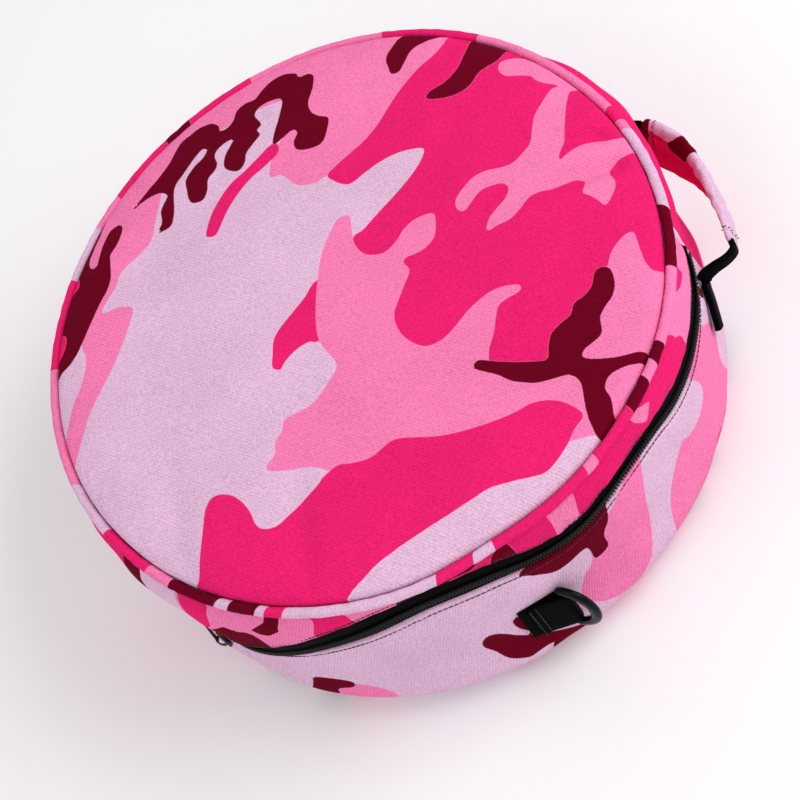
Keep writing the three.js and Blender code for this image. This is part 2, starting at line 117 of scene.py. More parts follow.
def wallRadius(at, z):
    up = np.clip((z - wallLow) / (wallTop - wallLow), 0, 1)
    swell = sum(b["out"] * np.exp(-(turnGap(at, b["at"]) / b["wide"]) ** 2 - ((up - b["up"]) / b["tall"]) ** 2)
                for b in rows(wallBulges))
    belly = bag["belly"] * follow(wallProfile, "up", "out", up)
    fade = np.minimum(1, bag["bulgeFade"] * up * (1 - up))
    return bag["seamRadius"] + rimWave(at) + belly + fade * swell * bag["bulge"]


def bandRadius(at, z):
    # the wall drawn in along the zip, but standing a little proud near its ends
    off = np.maximum(0, np.abs(z - zipHeight(at)) - zipHalf(at))
    inside = (turnGap(at, zipper["start"]) >= -0.01) & (turnGap(zipper["end"], at) >= -0.01)
    deep = follow(zipDip, "at", "deep", at)
    reach = zipper["reach"] * np.where(deep < 0, zipper["proudReach"], 1)
    return wallRadius(at, z) - np.where(inside, deep * np.exp(-(off / reach) ** 2), 0)


def tapeFace(at, z):
    # near both ends the tapes lie level with the wall, and their lower edge turns out
    fromEnd = np.minimum(at - zipper["start"], zipper["end"] - at)
    share = np.clip(fromEnd / zipper["fade"], 0, 1) ** zipper["fadePower"]
    tilt = (1 - share) * zipper["turnOut"] * (zipHeight(at) - z) / zipHalf(at)
    return bandRadius(at, z) - zipper["inset"] * share + tilt


def place(at, radius, z):
    a = np.radians(at)
    return np.stack(np.broadcast_arrays(radius * np.cos(a), radius * np.sin(a), z), -1)


def unit(v):
    return v / np.linalg.norm(v, axis=-1, keepdims=True)


def ripple(points, pitch, seed, waves=10):
    # smooth repeatable unevenness between about -1 and 1
    rng = np.random.default_rng(seed)
    total = 0
    for i in range(waves):
        way = rng.normal(size=points.shape[-1])
        way /= np.linalg.norm(way) * pitch * rng.uniform(0.6, 1.6) / (2 * math.pi)
        total = total + np.sin(points @ way + rng.uniform(0, 6.28))
    return total / math.sqrt(waves)


# Meshes
def makePiece(name, points, faces):
    mesh = bpy.data.meshes.new(name)
    points = np.asarray(points, float).reshape(-1, 3)
    tris = np.array([(f[0], f[i], f[i + 1]) for f in faces for i in range(1, len(f) - 1)])
    a, b, c = points[tris[:, 0]], points[tris[:, 1]], points[tris[:, 2]]
    if np.einsum("ij,ij->i", a, np.cross(b, c)).sum() < 0:
        faces = [tuple(reversed(f)) for f in faces]
    mesh.from_pydata((points * mm).tolist(), [], faces)
    mesh.shade_smooth()
    return link(name, mesh)


def loft(name, sections, loop=False):
    # a body through a row of closed sections, closed across its ends unless it runs round
    sections = np.asarray(sections, float)
    count, n = sections.shape[:2]
    faces = []
    for i in range(count if loop else count - 1):
        a, b = i * n, (i + 1) % count * n
        faces += [(a + j, b + j, b + (j + 1) % n, a + (j + 1) % n) for j in range(n)]
    if not loop:
        for start, flip in ((0, False), ((count - 1) * n, True)):
            for j in range(n // 2 - 1):
                face = (start + j, start + j + 1, start + n - 2 - j, start + n - 1 - j)
                faces.append(tuple(reversed(face)) if flip else face)
    return makePiece(name, sections, faces)


def coords(piece):
    co = np.empty(len(piece.data.vertices) * 3)
    piece.data.vertices.foreach_get("co", co)
    return co.reshape(-1, 3) / mm


def setCoords(piece, points):
    piece.data.vertices.foreach_set("co", (np.asarray(points) * mm).ravel())
    piece.data.update()


def settle(piece):
    # the evaluated piece as a plain mesh with no modifier
    graph = bpy.context.evaluated_depsgraph_get()
    mesh = bpy.data.meshes.new_from_object(piece.evaluated_get(graph))
    piece.modifiers.clear()
    old = piece.data
    piece.data = mesh
    mesh.name = piece.name
    bpy.data.meshes.remove(old)


def refine(piece):
    extra = piece.modifiers.new("refine", "SUBSURF")
    extra.levels = extra.render_levels = 1
    settle(piece)


def link(name, data):
    thing = bpy.data.objects.new(name, data)
    bpy.context.scene.collection.objects.link(thing)
    return thing


padding = dict(frames=20, quality=6, mass=0.3, bending=1.5)


def puff(piece, held, pressure, slack, cap):
    frames = padding["frames"]
    start = coords(piece)
    group = piece.vertex_groups.new(name="held")
    for i, weight in enumerate(held):
        if weight > 0:
            group.add([i], float(weight), "REPLACE")
    cloth = piece.modifiers.new("padding", "CLOTH")
    cloth.point_cache.frame_start = 1
    cloth.point_cache.frame_end = frames
    cloth.settings.quality = padding["quality"]
    cloth.settings.mass = padding["mass"]
    cloth.settings.bending_stiffness = padding["bending"]
    cloth.settings.vertex_group_mass = "held"
    cloth.settings.shrink_min = -slack
    cloth.settings.use_pressure = True
    cloth.settings.uniform_pressure_force = pressure
    cloth.settings.effector_weights.gravity = 0
    cloth.collision_settings.use_collision = False
    cloth.collision_settings.use_self_collision = False
    scene = bpy.context.scene
    for f in range(1, frames + 1):
        scene.frame_set(f)
    graph = bpy.context.evaluated_depsgraph_get()
    moved = np.empty(len(start) * 3)
    piece.evaluated_get(graph).data.vertices.foreach_get("co", moved)
    move = moved.reshape(-1, 3) / mm - start
    far = np.linalg.norm(move, axis=1, keepdims=True)
    move *= np.minimum(1, cap / np.maximum(far, 1e-9))
    piece.modifiers.clear()
    piece.vertex_groups.clear()
    scene.frame_set(1)
    setCoords(piece, start + move)
    print("padding", piece.name, "moved up to %.1f mm" % far.max())


# Camera at the photograph's angle
view = dict(distance=1066.4, elevation=54.1, roll=-37.8, lens=90, sensor=36, aim=60, shiftX=0.0151,
            shiftY=-0.0545)
elevation = math.radians(view["elevation"])
viewPoint = np.array([0, -math.cos(elevation), math.sin(elevation)]) * view["distance"] + [0, 0, view["aim"]]


def makeCamera():
    roll = math.radians(view["roll"])
    ahead = Vector((0, math.cos(elevation), -math.sin(elevation)))
    right = Vector((1, 0, 0))
    up = right.cross(ahead)
    acrossImage = right * math.cos(roll) + up * math.sin(roll)
    upImage = up * math.cos(roll) - right * math.sin(roll)
    data = bpy.data.cameras.new("camera")
    data.lens, data.sensor_width = view["lens"], view["sensor"]
    data.shift_x, data.shift_y = view["shiftX"], view["shiftY"]
    camera = link("camera", data)
    turn = Matrix((acrossImage, upImage, -ahead)).transposed().to_4x4()
    seat = Vector((0, 0, view["aim"] * mm)) - ahead * view["distance"] * mm
    camera.matrix_world = Matrix.Translation(seat) @ turn
    bpy.context.scene.camera = camera


makeCamera()


# Camouflage cloth, charted one blob at a time. Every blob is a colour and a rough outline in millimetres.
fieldReach = 14


def rounded(outline, steps=5):
    # a smooth closed curve through the charted points
    p = np.asarray(outline, float)
    before, after, later = np.roll(p, 1, 0), np.roll(p, -1, 0), np.roll(p, -2, 0)
    t = np.linspace(0, 1, steps, endpoint=False)[None, :, None]
    p, before, after, later = (q[:, None, :] for q in (p, before, after, later))
    curve = 0.5 * (2 * p + (after - before) * t + (2 * before - 5 * p + 4 * after - later) * t ** 2
                   + (3 * p - before - 3 * after + later) * t ** 3)
    return curve.reshape(-1, 2)


def depthInside(points, outline):
    # how far inside a closed outline each point is, negative outside
    a, b = outline, np.roll(outline, -1, 0)
    side = b - a
    result = np.full(len(points), -float(fieldReach))
    low, high = outline.min(0) - fieldReach, outline.max(0) + fieldReach
    near = np.nonzero(((points > low) & (points < high)).all(1))[0]
    for part in np.array_split(near, max(1, len(near) // 4000)):
        q = points[part][:, None, :]
        t = np.clip(((q - a) * side).sum(-1) / np.maximum((side ** 2).sum(-1), 1e-9), 0, 1)
        far = np.sqrt((((q - a) - t[..., None] * side) ** 2).sum(-1).min(1))
        crosses = (a[:, 1] > q[..., 1]) != (b[:, 1] > q[..., 1])
        rise = np.where(np.abs(side[:, 1]) < 1e-9, 1e-9, side[:, 1])
        hit = a[:, 0] + (q[..., 1] - a[:, 1]) * side[:, 0] / rise
        inside = (crosses & (q[..., 0] < hit)).sum(1) % 2 == 1
        result[part] = np.where(inside, far, -far)
    return np.clip(result, -fieldReach, fieldReach)


dyeLayers = ("pink", "hot", "dark")
dyeOverlap = 1.4


def dye(piece, flat, chart):
    # Lays the chart on the cloth as one depth for each colour. A later blob cuts the colours above its
    # own, and runs a little way on under them so that no gap shows.
    depth = {c: np.full(len(flat), -float(fieldReach)) for c in dyeLayers}
    for colour, outline in chart:
        inside = depthInside(flat, rounded(np.array(outline, float)))
        rank = dyeLayers.index(colour) if colour in dyeLayers else -1
        above = dyeLayers[rank + 1:]
        if rank >= 0:
            depth[colour] = np.maximum(depth[colour], inside)
            if above:
                covered = np.max([depth[c] for c in above], 0)
                depth[colour] = np.maximum(depth[colour], np.minimum(inside + dyeOverlap, covered))
        for c in above:
            depth[c] = np.minimum(depth[c], -inside)
    for c in depth:
        layer = piece.data.attributes.new(c, "FLOAT", "POINT")
        layer.data.foreach_set("value", depth[c].astype(np.float32))


def layCloth(piece, flat):
    # the cloth's own flat coordinates in metres, for the weave
    corner = np.empty(len(piece.data.loops), int)
    piece.data.loops.foreach_get("vertex_index", corner)
    layer = piece.data.uv_layers.new(name="cloth")
    layer.data.foreach_set("uv", (flat[corner] * mm).astype(np.float32).ravel())


# Materials
class Socket:
    # one output of a node, so that shader maths can be written as sums
    def __init__(self, tree, out):
        self.tree, self.out = tree, out

    def math(self, operation, *values, clamp=False):
        return makeNode(self.tree, "ShaderNodeMath", {"operation": operation, "use_clamp": clamp},
                        dict(enumerate(values)))

    def __add__(self, other): return self.math("ADD", self, other)
    def __radd__(self, other): return self.math("ADD", other, self)
    def __sub__(self, other): return self.math("SUBTRACT", self, other)
    def __rsub__(self, other): return self.math("SUBTRACT", other, self)
    def __mul__(self, other): return self.math("MULTIPLY", self, other)
    def __rmul__(self, other): return self.math("MULTIPLY", other, self)

    def sin(self): return self.math("SINE", self)
    def abs(self): return self.math("ABSOLUTE", self)

    def ramp(self, low, high):
        # 0 below low, 1 above high
        return self.math("DIVIDE", self - low, high - low, clamp=True)


def makeNode(tree, kind, settings=None, inputs=None, output=0):
    node = tree.nodes.new(kind)
    for key, value in (settings or {}).items():
        setattr(node, key, value)
    for key, value in (inputs or {}).items():
        socket = node.inputs[key]
        if isinstance(value, Socket):
            tree.links.new(value.out, socket)
        else:
            socket.default_value = value
    return Socket(tree, node.outputs[output]) if node.outputs else None


def mixColour(tree, factor, a, b, blend="MIX"):
    a, b = (c if isinstance(c, Socket) else (*c, 1) for c in (a, b))
    return makeNode(tree, "ShaderNodeMix", {"data_type": "RGBA", "blend_type": blend},
                    {0: factor, 6: a, 7: b}, output=2)


def mottled(tree, factor, colour, low, high):
    # one colour that runs from a darker to a lighter share of itself
    return mixColour(tree, factor, tuple(c * low for c in colour), tuple(c * high for c in colour))


def noise(tree, scale, detail, roughness):
    where = makeNode(tree, "ShaderNodeTexCoord", output=3)
    return makeNode(tree, "ShaderNodeTexNoise", {"noise_dimensions": "3D"},
                    {"Vector": where, "Scale": scale, "Detail": detail, "Roughness": roughness})


def raised(tree, strength, lift, height):
    return makeNode(tree, "ShaderNodeBump", None, {"Strength": strength, "Distance": lift * mm, "Height": height})


def linear(hexColour):
    parts = [int(hexColour[i:i + 2], 16) / 255 for i in (1, 3, 5)]
    return tuple(c / 12.92 if c <= 0.04045 else ((c + 0.055) / 1.055) ** 2.4 for c in parts)


def newMaterial(name):
    finish = bpy.data.materials.new(name)
    finish.use_nodes = True
    tree = finish.node_tree
    tree.nodes.clear()
    return finish, tree


def surface(tree, inputs):
    shader = makeNode(tree, "ShaderNodeBsdfPrincipled", None, inputs)
    makeNode(tree, "ShaderNodeOutputMaterial", None, {"Surface": shader})


def clothWaves(tree, pitches, turn=0):
    # waves along and across the cloth
    flat = makeNode(tree, "ShaderNodeUVMap", {"uv_map": "cloth"})
    turned = makeNode(tree, "ShaderNodeMapping", None, {"Vector": flat, "Rotation": (0, 0, math.radians(turn))})
    return [(makeNode(tree, "ShaderNodeSeparateXYZ", None, {0: turned}, output=i)
             * (2 * math.pi / (pitch * mm))).sin() for i, pitch in enumerate(pitches)]


camo = dict(lilac=linear("#DAB2CF"), pink=linear("#EE79AC"), hot=linear("#E3206B"), dark=linear("#66031D"),
            halo=linear("#F2C2DA"), thread=0.85, wander=1.1, fuzz=1.15, cloud=0.22, lift=0.25)
camoEdges = dict(pink=(-0.15, 0.15), hot=(-0.15, 0.15), dark=(-0.2, 0.15))
camoHalos = dict(hot=(-0.4, -0.1, 0.1), dark=(-0.5, -0.2, 0.12))  # from, to and strength of the pale rim


def camoCloth(name, ribs=0.5, turn=0, rib=1.9):
    finish, tree = newMaterial(name)
    ribWave, crossWave = clothWaves(tree, (rib, camo["thread"]), turn)
    fuzz, cloud = noise(tree, 850, 3, 0.8), noise(tree, 26, 3, 0.55)
    edgeWander = (fuzz - 0.5) * camo["wander"]
    colour = camo["lilac"]
    for c in dyeLayers:
        depth = makeNode(tree, "ShaderNodeAttribute", {"attribute_name": c}, output=2) + edgeWander
        if c in camoHalos:
            low, high, strength = camoHalos[c]
            colour = mixColour(tree, depth.ramp(low, high) * strength, colour, camo["halo"])
        colour = mixColour(tree, depth.ramp(*camoEdges[c]), colour, camo[c])
    # The cloud and fuzz noise give random tone. The rib and thread waves, which also raise the bump, paint shade
    # into the weave's grooves.
    shade = 1 + (cloud - 0.5) * camo["cloud"] + (fuzz - 0.5) * camo["fuzz"]
    shade = shade + ribWave * (0.1 * ribs) + crossWave * 0.012
    grey = makeNode(tree, "ShaderNodeCombineColor", None, {0: shade, 1: shade, 2: shade})
    colour = mixColour(tree, 1.0, colour, grey, "MULTIPLY")
    bump = raised(tree, 0.5, camo["lift"], ribWave * (0.8 * ribs) + crossWave * 0.3 + fuzz * 1.4)
    surface(tree, {"Base Color": colour, "Roughness": 0.88 + (fuzz - 0.5) * 0.1, "Normal": bump,
                   "Specular IOR Level": 0.03})
    return finish


def wovenBlack(name, colour, rib, cross, ribLift, gloss):
    finish, tree = newMaterial(name)
    ribWave, crossWave = clothWaves(tree, (rib, cross))
    fuzz = noise(tree, 1300, 3, 0.7)
    weave = ribWave * 0.6 + crossWave * ribWave.abs() * 0.4
    # painted shade between the threads of the weave, which also raises the bump, plus random tone from the fuzz
    # noise
    weaveShadeAndTone = (0.5 + weave * 0.25 + (fuzz - 0.5) * 0.8).ramp(0, 1)
    surface(tree, {"Base Color": mottled(tree, weaveShadeAndTone, colour, 0.45, 1.7), "Roughness": 0.6 + (fuzz - 0.5) * 0.15,
                   "Normal": raised(tree, 0.6, ribLift, weave + fuzz * 0.5), "Specular IOR Level": gloss})
    return finish


def moulded(name, colour, rough, grainScale, grainLift, coat=0.0, metallic=0.0, gloss=0.25):
    finish, tree = newMaterial(name)
    grain, wear = noise(tree, grainScale, 4, 0.6), noise(tree, 90, 3, 0.5)
    ink = mottled(tree, (wear - 0.3).ramp(0, 0.5), colour, 0.8, 1.35)
    surface(tree, {"Base Color": ink, "Roughness": rough + (wear - 0.5) * 0.16,
                   "Normal": raised(tree, 0.5, grainLift, grain), "Coat Weight": coat, "Metallic": metallic,
                   "Specular IOR Level": gloss})
    return finish


def threadFinish(name, colour):
    finish, tree = newMaterial(name)
    ink = mottled(tree, noise(tree, 2500, 2, 0.6).ramp(0.35, 0.65), colour, 0.6, 1.3)
    surface(tree, {"Base Color": ink, "Roughness": 0.6})
    return finish


lidCloth = camoCloth("lidCloth", ribs=0.5, turn=-30, rib=1.6)
wallCloth = camoCloth("wallCloth", ribs=0.7, turn=24, rib=1.5)
pipingCloth = camoCloth("pipingCloth", ribs=0.3, turn=45)
sleeveCloth = camoCloth("sleeveCloth", ribs=0.5)
tapeCloth = wovenBlack("tapeCloth", (0.0012, 0.0012, 0.0016), 1.3, 0.7, 0.12, gloss=0.03)
webbing = wovenBlack("webbing", (0.0016, 0.0016, 0.0018), 1.6, 1.1, 0.3, gloss=0.02)
coilPlastic = moulded("coilPlastic", (0.009, 0.009, 0.008), 0.4, 700, 0.03, gloss=0.12)
ringPlastic = moulded("ringPlastic", (0.0015, 0.0015, 0.0018), 0.16, 500, 0.03, coat=0.03, gloss=0.1)
sliderMetal = moulded("sliderMetal", (0.012, 0.012, 0.014), 0.34, 500, 0.02, coat=0.2, metallic=0.4)
darkThread = threadFinish("darkThread", (0.035, 0.01, 0.022))
blackThread = threadFinish("blackThread", (0.012, 0.012, 0.014))


def finishPiece(piece, finish, slot, *nodes):
    piece.data.materials.clear()
    piece.data.materials.append(finish)
    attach(piece, "root")
    if nodes:
        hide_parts(*nodes)
    return piece


# Lid
lidChart = [
    ("pink", [(-165, 20), (-140, 39), (-120, 52), (-104, 64), (-94, 73), (-91, 78), (-97, 84), (-106, 88),
              (-100, 93), (-92, 97), (-87, 102), (-81, 104), (-72, 105), (-62, 108), (-50, 122), (-30, 142),
              (0, 141), (20, 138), (42, 128), (32, 112), (18, 102), (12, 96), (9, 90), (14, 87), (16, 80),
              (18, 73), (25, 67.5), (33, 66), (60, 60), (100, 75), (140, 92), (160, 120), (140, 180), (-70, 180),
              (-110, 140), (-112, 112), (-124, 82), (-126, 72), (-130, 65), (-138, 57), (-147, 50), (-156, 41),
              (-172, 30)]),
    ("hot", [(33, 66), (40, 68), (50, 69), (60, 70), (70, 73), (80, 78), (90, 83), (105, 88), (118, 90),
             (126, 94), (135, 99), (175, 110), (190, 0), (175, -80), (146, -112), (127, -104), (125, -97),
             (127, -89), (130.5, -80), (129, -77.5), (122, -79), (114, -83), (95, -100), (60, -112), (30, -90),
             (0, -40), (10, 5), (22, 21), (30, 22), (40, 24.5), (55, 28), (68, 32), (76, 36), (80.5, 40.5),
             (76, 45), (69, 49), (60, 51.5), (50, 52), (41, 51.5), (37, 54), (34, 60)]),
    ("hot", [(-48, -15.5), (-49, -12), (-45, -6), (-41, 0), (-35, 4), (-25, 7), (-15, 10), (-5, 14), (5, 5),
             (0, -15), (-21, -18), (-27, -14), (-35, -13), (-42, -14.5), (-46, -16.5)]),
    ("pink", [(28.5, 34), (27, 36.5), (22, 37), (15, 33), (8, 28), (2, 22), (-5, 13), (-12, 3), (-18, -7),
              (-22, -16), (-22.5, -25), (-22, -33), (-24, -37.5), (-31, -41), (-40, -44.5), (-47, -45),
              (-54, -43), (-60, -42.5), (-63, -46), (-70, -50), (-73, -55), (-79, -57), (-80, -60.5),
              (-73, -66), (-64, -72), (-58, -79), (-45, -98), (0, -130), (45, -150), (62, -156), (68, -140),
              (62, -120), (45, -105), (36, -94), (39.5, -85), (48, -77), (53, -71), (58, -66.5), (64, -66.5),
              (70, -67.5), (72, -65), (68, -61), (62, -58), (55, -57), (45, -58), (35, -61), (26, -62.5),
              (18, -60), (14, -54), (12, -46), (13, -38), (16, -32), (22, -27), (30, -21), (35, -17),
              (35, -11), (38, -9.5), (42, -11), (48, -12), (55, -10), (60, -4), (62.5, 2), (58, 5),
              (52, 6.5), (45, 5.5), (40, 3), (33, 1.5), (28, 3), (23, 8), (21.5, 14), (22.5, 21), (26, 28)]),
    ("hot", [(-150, -84), (-139, -83), (-133, -76), (-127, -68), (-121, -60), (-117, -55), (-112, -52),
             (-107, -53), (-102, -58), (-99.5, -65), (-99, -73), (-100, -80), (-98, -85), (-92, -88),
             (-85, -87), (-75, -85.5), (-65, -84.5), (-60, -83), (-51, -83), (-45, -87), (-36, -91),
             (-23, -91), (-15, -96), (-5, -104), (5, -110), (18, -116), (30, -120), (40, -122), (48, -127),
             (53, -134), (55, -143), (47, -146), (38, -151), (26, -154.5), (18, -152), (10, -148), (0, -144),
             (-10, -143), (-25, -141.5), (-40, -140), (-60, -138.5), (-75, -139.5), (-88, -142),
             (-102, -152), (-150, -115)]),
    ("pink", [(140, 57.5), (137, 53), (138, 47), (143, 43), (147, 38), (148, 32), (152, 26), (155, 22),
              (150, 22.5), (143, 19), (135, 15), (130, 10), (124, 3), (118, 0), (110, -2), (104, 0), (97, 4),
              (90, 5.5), (83, 4), (76, 1), (73, -4), (75, -8), (80, -6.5), (87, -4), (93, -5), (99, -8.5),
              (99.5, -13), (95, -16.5), (88, -18.5), (82, -21), (77, -26.5), (83, -27.5), (90, -29),
              (97, -27.5), (104, -24.5), (110, -25), (116, -28), (123, -29.5), (128, -31), (130.5, -35),
              (129, -39), (125.5, -43), (127, -47), (128.5, -52), (129.5, -57), (136, -54), (141, -49),
              (142, -42), (144, -38), (150, -36.5), (157, -38), (172, -38), (172, -27), (160, -27),
              (155, -25), (149, -20), (143, -17), (135, -17.5), (128, -18), (134, -11), (142, -2), (148, 6),
              (153, 12), (158, 15.5), (172, 12), (172, 30), (160, 40), (156, 46), (150, 54), (145, 57)]),
    ("pink", [(108, -88), (116, -81), (124, -78), (129, -77.5), (130.5, -80), (127, -90), (125, -97),
              (127, -104), (145, -112), (110, -150), (66, -158), (62, -140), (70, -118), (85, -106)]),
    ("hot", [(-37, 84), (-35, 88), (-28, 95), (-20, 100), (-10, 104), (0, 105), (10, 107), (20, 109),
             (23, 106), (20, 101), (10, 99), (0, 98), (-10, 95), (-20, 90), (-28, 84), (-33, 81)]),
    ("dark", [(-150, 78), (-140, 75), (-133, 76), (-125, 80), (-115, 87), (-105, 94), (-97, 99), (-92, 104),
              (-88, 112), (-85, 118), (-79, 121), (-73, 126), (-71, 131), (-73, 134), (-78, 134), (-84, 130),
              (-90, 124), (-95, 118.5), (-98, 121), (-97, 126), (-90, 133), (-80, 141), (-72, 149),
              (-65.5, 154), (-68, 157), (-78, 156), (-95, 150), (-120, 128), (-140, 103)]),
    ("hot", [(-146, 84), (-139, 84), (-132, 88), (-129.5, 93), (-132, 98), (-137, 101), (-148, 98)]),
    ("hot", [(-118, 120), (-111, 115), (-108, 118), (-107, 124), (-106, 131), (-112, 132)]),
    ("dark", [(-62, 134), (-58, 136), (-50, 139), (-40, 142), (-30, 146), (-24, 150), (-18, 154), (-10, 155),
              (-3, 153.5), (2, 150), (4, 145), (3, 141), (7, 139.5), (12, 141), (17, 145.5), (23, 146),
              (29, 144), (35, 147), (42, 148), (50, 146), (55, 141), (55, 137), (60, 135), (61.5, 131),
              (57, 124), (50, 117), (48, 110), (50, 104), (53, 99), (49, 93), (43, 87.5), (38, 87.5),
              (31, 92), (29, 96), (31, 101), (35, 104), (34, 108), (26, 107.5), (21, 108), (25, 114),
              (33, 122), (40, 131), (35, 135.5), (28, 137), (23, 134), (23, 126), (19, 124), (19, 120),
              (14, 118), (7, 115), (3, 110), (-2, 108), (-6, 112), (-7, 117), (-3, 123), (3, 127),
              (6, 129.5), (1, 131), (-5, 130), (-8, 127), (-9, 122), (-12, 119), (-18, 117), (-22, 111),
              (-27, 107.5), (-32, 110), (-33, 114), (-31, 120), (-28, 127), (-20, 131), (-14, 132),
              (-9, 135), (-11, 138), (-18, 136), (-27, 132), (-34, 129), (-38, 124), (-42, 116),
              (-46, 110), (-50, 107), (-57, 109), (-52, 113), (-49, 120), (-44, 124), (-41, 127),
              (-44, 132), (-52, 134.5)]),
    ("dark", [(94, 97), (95, 102), (97, 108), (102, 112.5), (112, 117.5), (120, 121), (132, 113), (142, 100),
              (134, 99.5), (125, 101.5), (117, 103), (110, 102), (104, 98.5), (98, 95)]),
    ("dark", [(99, 67), (103, 70), (112, 69), (122, 71.5), (131, 78), (138, 85), (146, 92), (160, 75),
              (153, 68), (146, 63), (139, 60), (129, 60.5), (122, 57.5), (115, 57), (107, 60)]),
    ("dark", [(29, -87), (31, -85), (34, -85.5), (39, -91), (46, -98), (54, -105), (59, -108), (63, -103),
              (68, -98), (74, -96.5), (81, -96), (86, -92), (92, -92), (98, -90), (103, -85), (107, -84.5),
              (110, -88), (108, -95), (103, -101), (96, -104), (91, -107), (87, -114), (82, -115.5),
              (75, -116), (72.5, -119), (77, -124), (85, -129), (96, -134), (100, -140), (91, -137.5),
              (84, -135), (76, -134.5), (71, -138), (70, -144), (66, -151), (60, -158), (54, -156),
              (55, -149), (57, -143), (60, -137), (63, -131), (64, -127), (62, -122), (56, -119),
              (48, -115), (43, -110), (39, -105), (36, -98), (32, -92)]),
]


def creaseAt(x, y):
    deep = 0
    for c in rows(lidCreases):
        a, run = math.radians(c["at"]), math.radians(c["run"])
        dx, dy = x - c["start"] * math.cos(a), y - c["start"] * math.sin(a)
        along, across = dx * math.cos(run) + dy * math.sin(run), -dx * math.sin(run) + dy * math.cos(run)
        deep = deep + c["deep"] * np.exp(-(along / c["length"]) ** 2 - (across / c["wide"]) ** 2)
    return deep * bag["crease"]


def stitchRings(starts):
    # triangles between neighbouring rings that may have different counts
    faces = []
    for (a, na), (b, nb) in zip(starts[:-1], starts[1:]):
        i = j = 0
        while i < na or j < nb:
            if j < nb and (i >= na or (j + 1) / nb <= (i + 1) / na + 1e-9):
                faces.append((a + i % na, b + j % nb, b + (j + 1) % nb))
                j += 1
            else:
                faces.append((a + i % na, b + j % nb, a + (i + 1) % na))
                i += 1
    return faces


def discPiece(name, size, rings):
    # a closed padded disc from rings of (share of the radius, height, how many points)
    points, starts = [], []
    for share, z, count in rings:
        at = np.arange(count) * 360 / count
        starts.append((len(points), count))
        radius = (size + rimWave(at)) * share
        points += place(at, radius, z).tolist()
    faces = stitchRings(starts)
    for (start, count), last in ((starts[0], False), (starts[-1], True)):
        points.append(np.mean(points[start:start + count], 0).tolist())
        middle = len(points) - 1
        for j in range(count):
            k = (j + 1) % count
            faces.append((middle, start + k, start + j) if last else (middle, start + j, start + k))
    return makePiece(name, points, faces)


panel = dict(rings=44, perRing=6, corner=(0.2, 0.4, 0.6, 0.8, 1), lining=(0.9, 0.75, 0.5, 0.2), hollow=2,
             pressure=2.0, slack=0.006, cap=1.2, faceRise=3, creaseFade=14, sag=0.35, sagPitch=46, seed=3)


def makeLid():
    edge = (bag["seamRadius"] - bag["corner"]) / bag["seamRadius"]
    dome = lambda s: bag["height"] + bag["edgePuff"] + (bag["lidDome"] - bag["edgePuff"]) * (1 - (s / edge) ** 2)
    k, grow = panel["rings"], panel["perRing"]
    outer = [(edge * i / k, dome(edge * i / k), grow * i) for i in range(1, k + 1)]
    rimZ = bag["height"] - bag["rimDrop"]
    for t in panel["corner"]:
        turn = math.radians(90 * t)
        outer.append((edge + (1 - edge) * math.sin(turn), rimZ + (dome(edge) - rimZ) * math.cos(turn), grow * k))
    under = [(1, wallTop + bag["gap"], grow * k), (edge, wallTop + 2 * bag["gap"], grow * k)]
    liningZ = bag["height"] + (bag["lidDome"] + bag["edgePuff"]) / 2 - bag["lidPad"] - panel["hollow"]
    under += [(share * edge, liningZ, int(60 * share) * 3) for share in panel["lining"]]
    lid = discPiece("lidPanel", bag["seamRadius"], outer + under)
    held = np.where(coords(lid)[:, 2] < rimZ + 0.5, 1, 0)
    puff(lid, held, panel["pressure"], panel["slack"], panel["cap"])
    refine(lid)
    p = coords(lid)
    x, y = p[:, 0] / bag["seamRadius"], p[:, 1] / bag["seamRadius"]
    share = np.hypot(p[:, 0], p[:, 1]) / bag["seamRadius"]
    face = np.clip((p[:, 2] - rimZ) / panel["faceRise"], 0, 1)
    p[:, 2] -= face * creaseAt(x, y) * np.clip((1 - share) * panel["creaseFade"], 0, 1)
    p[:, 2] += face * panel["sag"] * ripple(p[:, :2], panel["sagPitch"], panel["seed"])
    setCoords(lid, p)
    dye(lid, p[:, :2], lidChart)
    layCloth(lid, p[:, :2])
    return finishPiece(lid, lidCloth, "camo_cloth", "top_panel")


lid = makeLid()
print("lid done")


# Wall cloth: charts in degrees and millimetres of height
drum = dict(radius=171, grazing=0.06, sure=0.12)
arcStep = math.radians(1) * drum["radius"]


def onDrum(points, at):
    # The front wall was charted as it shows on a plain drum, so each point of the cloth looks up where
    # its line from the camera meets that drum. Where that line grazes the wall the point keeps its place.
    ray = points - viewPoint
    a = (ray[:, :2] ** 2).sum(1)
    b = (viewPoint[:2] * ray[:, :2]).sum(1)
    c = (viewPoint[:2] ** 2).sum() - drum["radius"] ** 2
    t = (-b - np.sqrt(np.maximum(b ** 2 - a * c, 0))) / a
    hit = viewPoint + ray * t[:, None]
    facing = -(unit(ray) * place(at, 1, at * 0)).sum(1)
    share = np.clip((facing - drum["grazing"]) / drum["sure"], 0, 1)
    hitAt = at + turnGap(np.degrees(np.arctan2(hit[:, 1], hit[:, 0])), at)
    moved = np.stack([hitAt * arcStep, hit[:, 2]], -1)
    plain = np.stack([at * arcStep, points[:, 2]], -1)
    return plain + (moved - plain) * share[:, None]


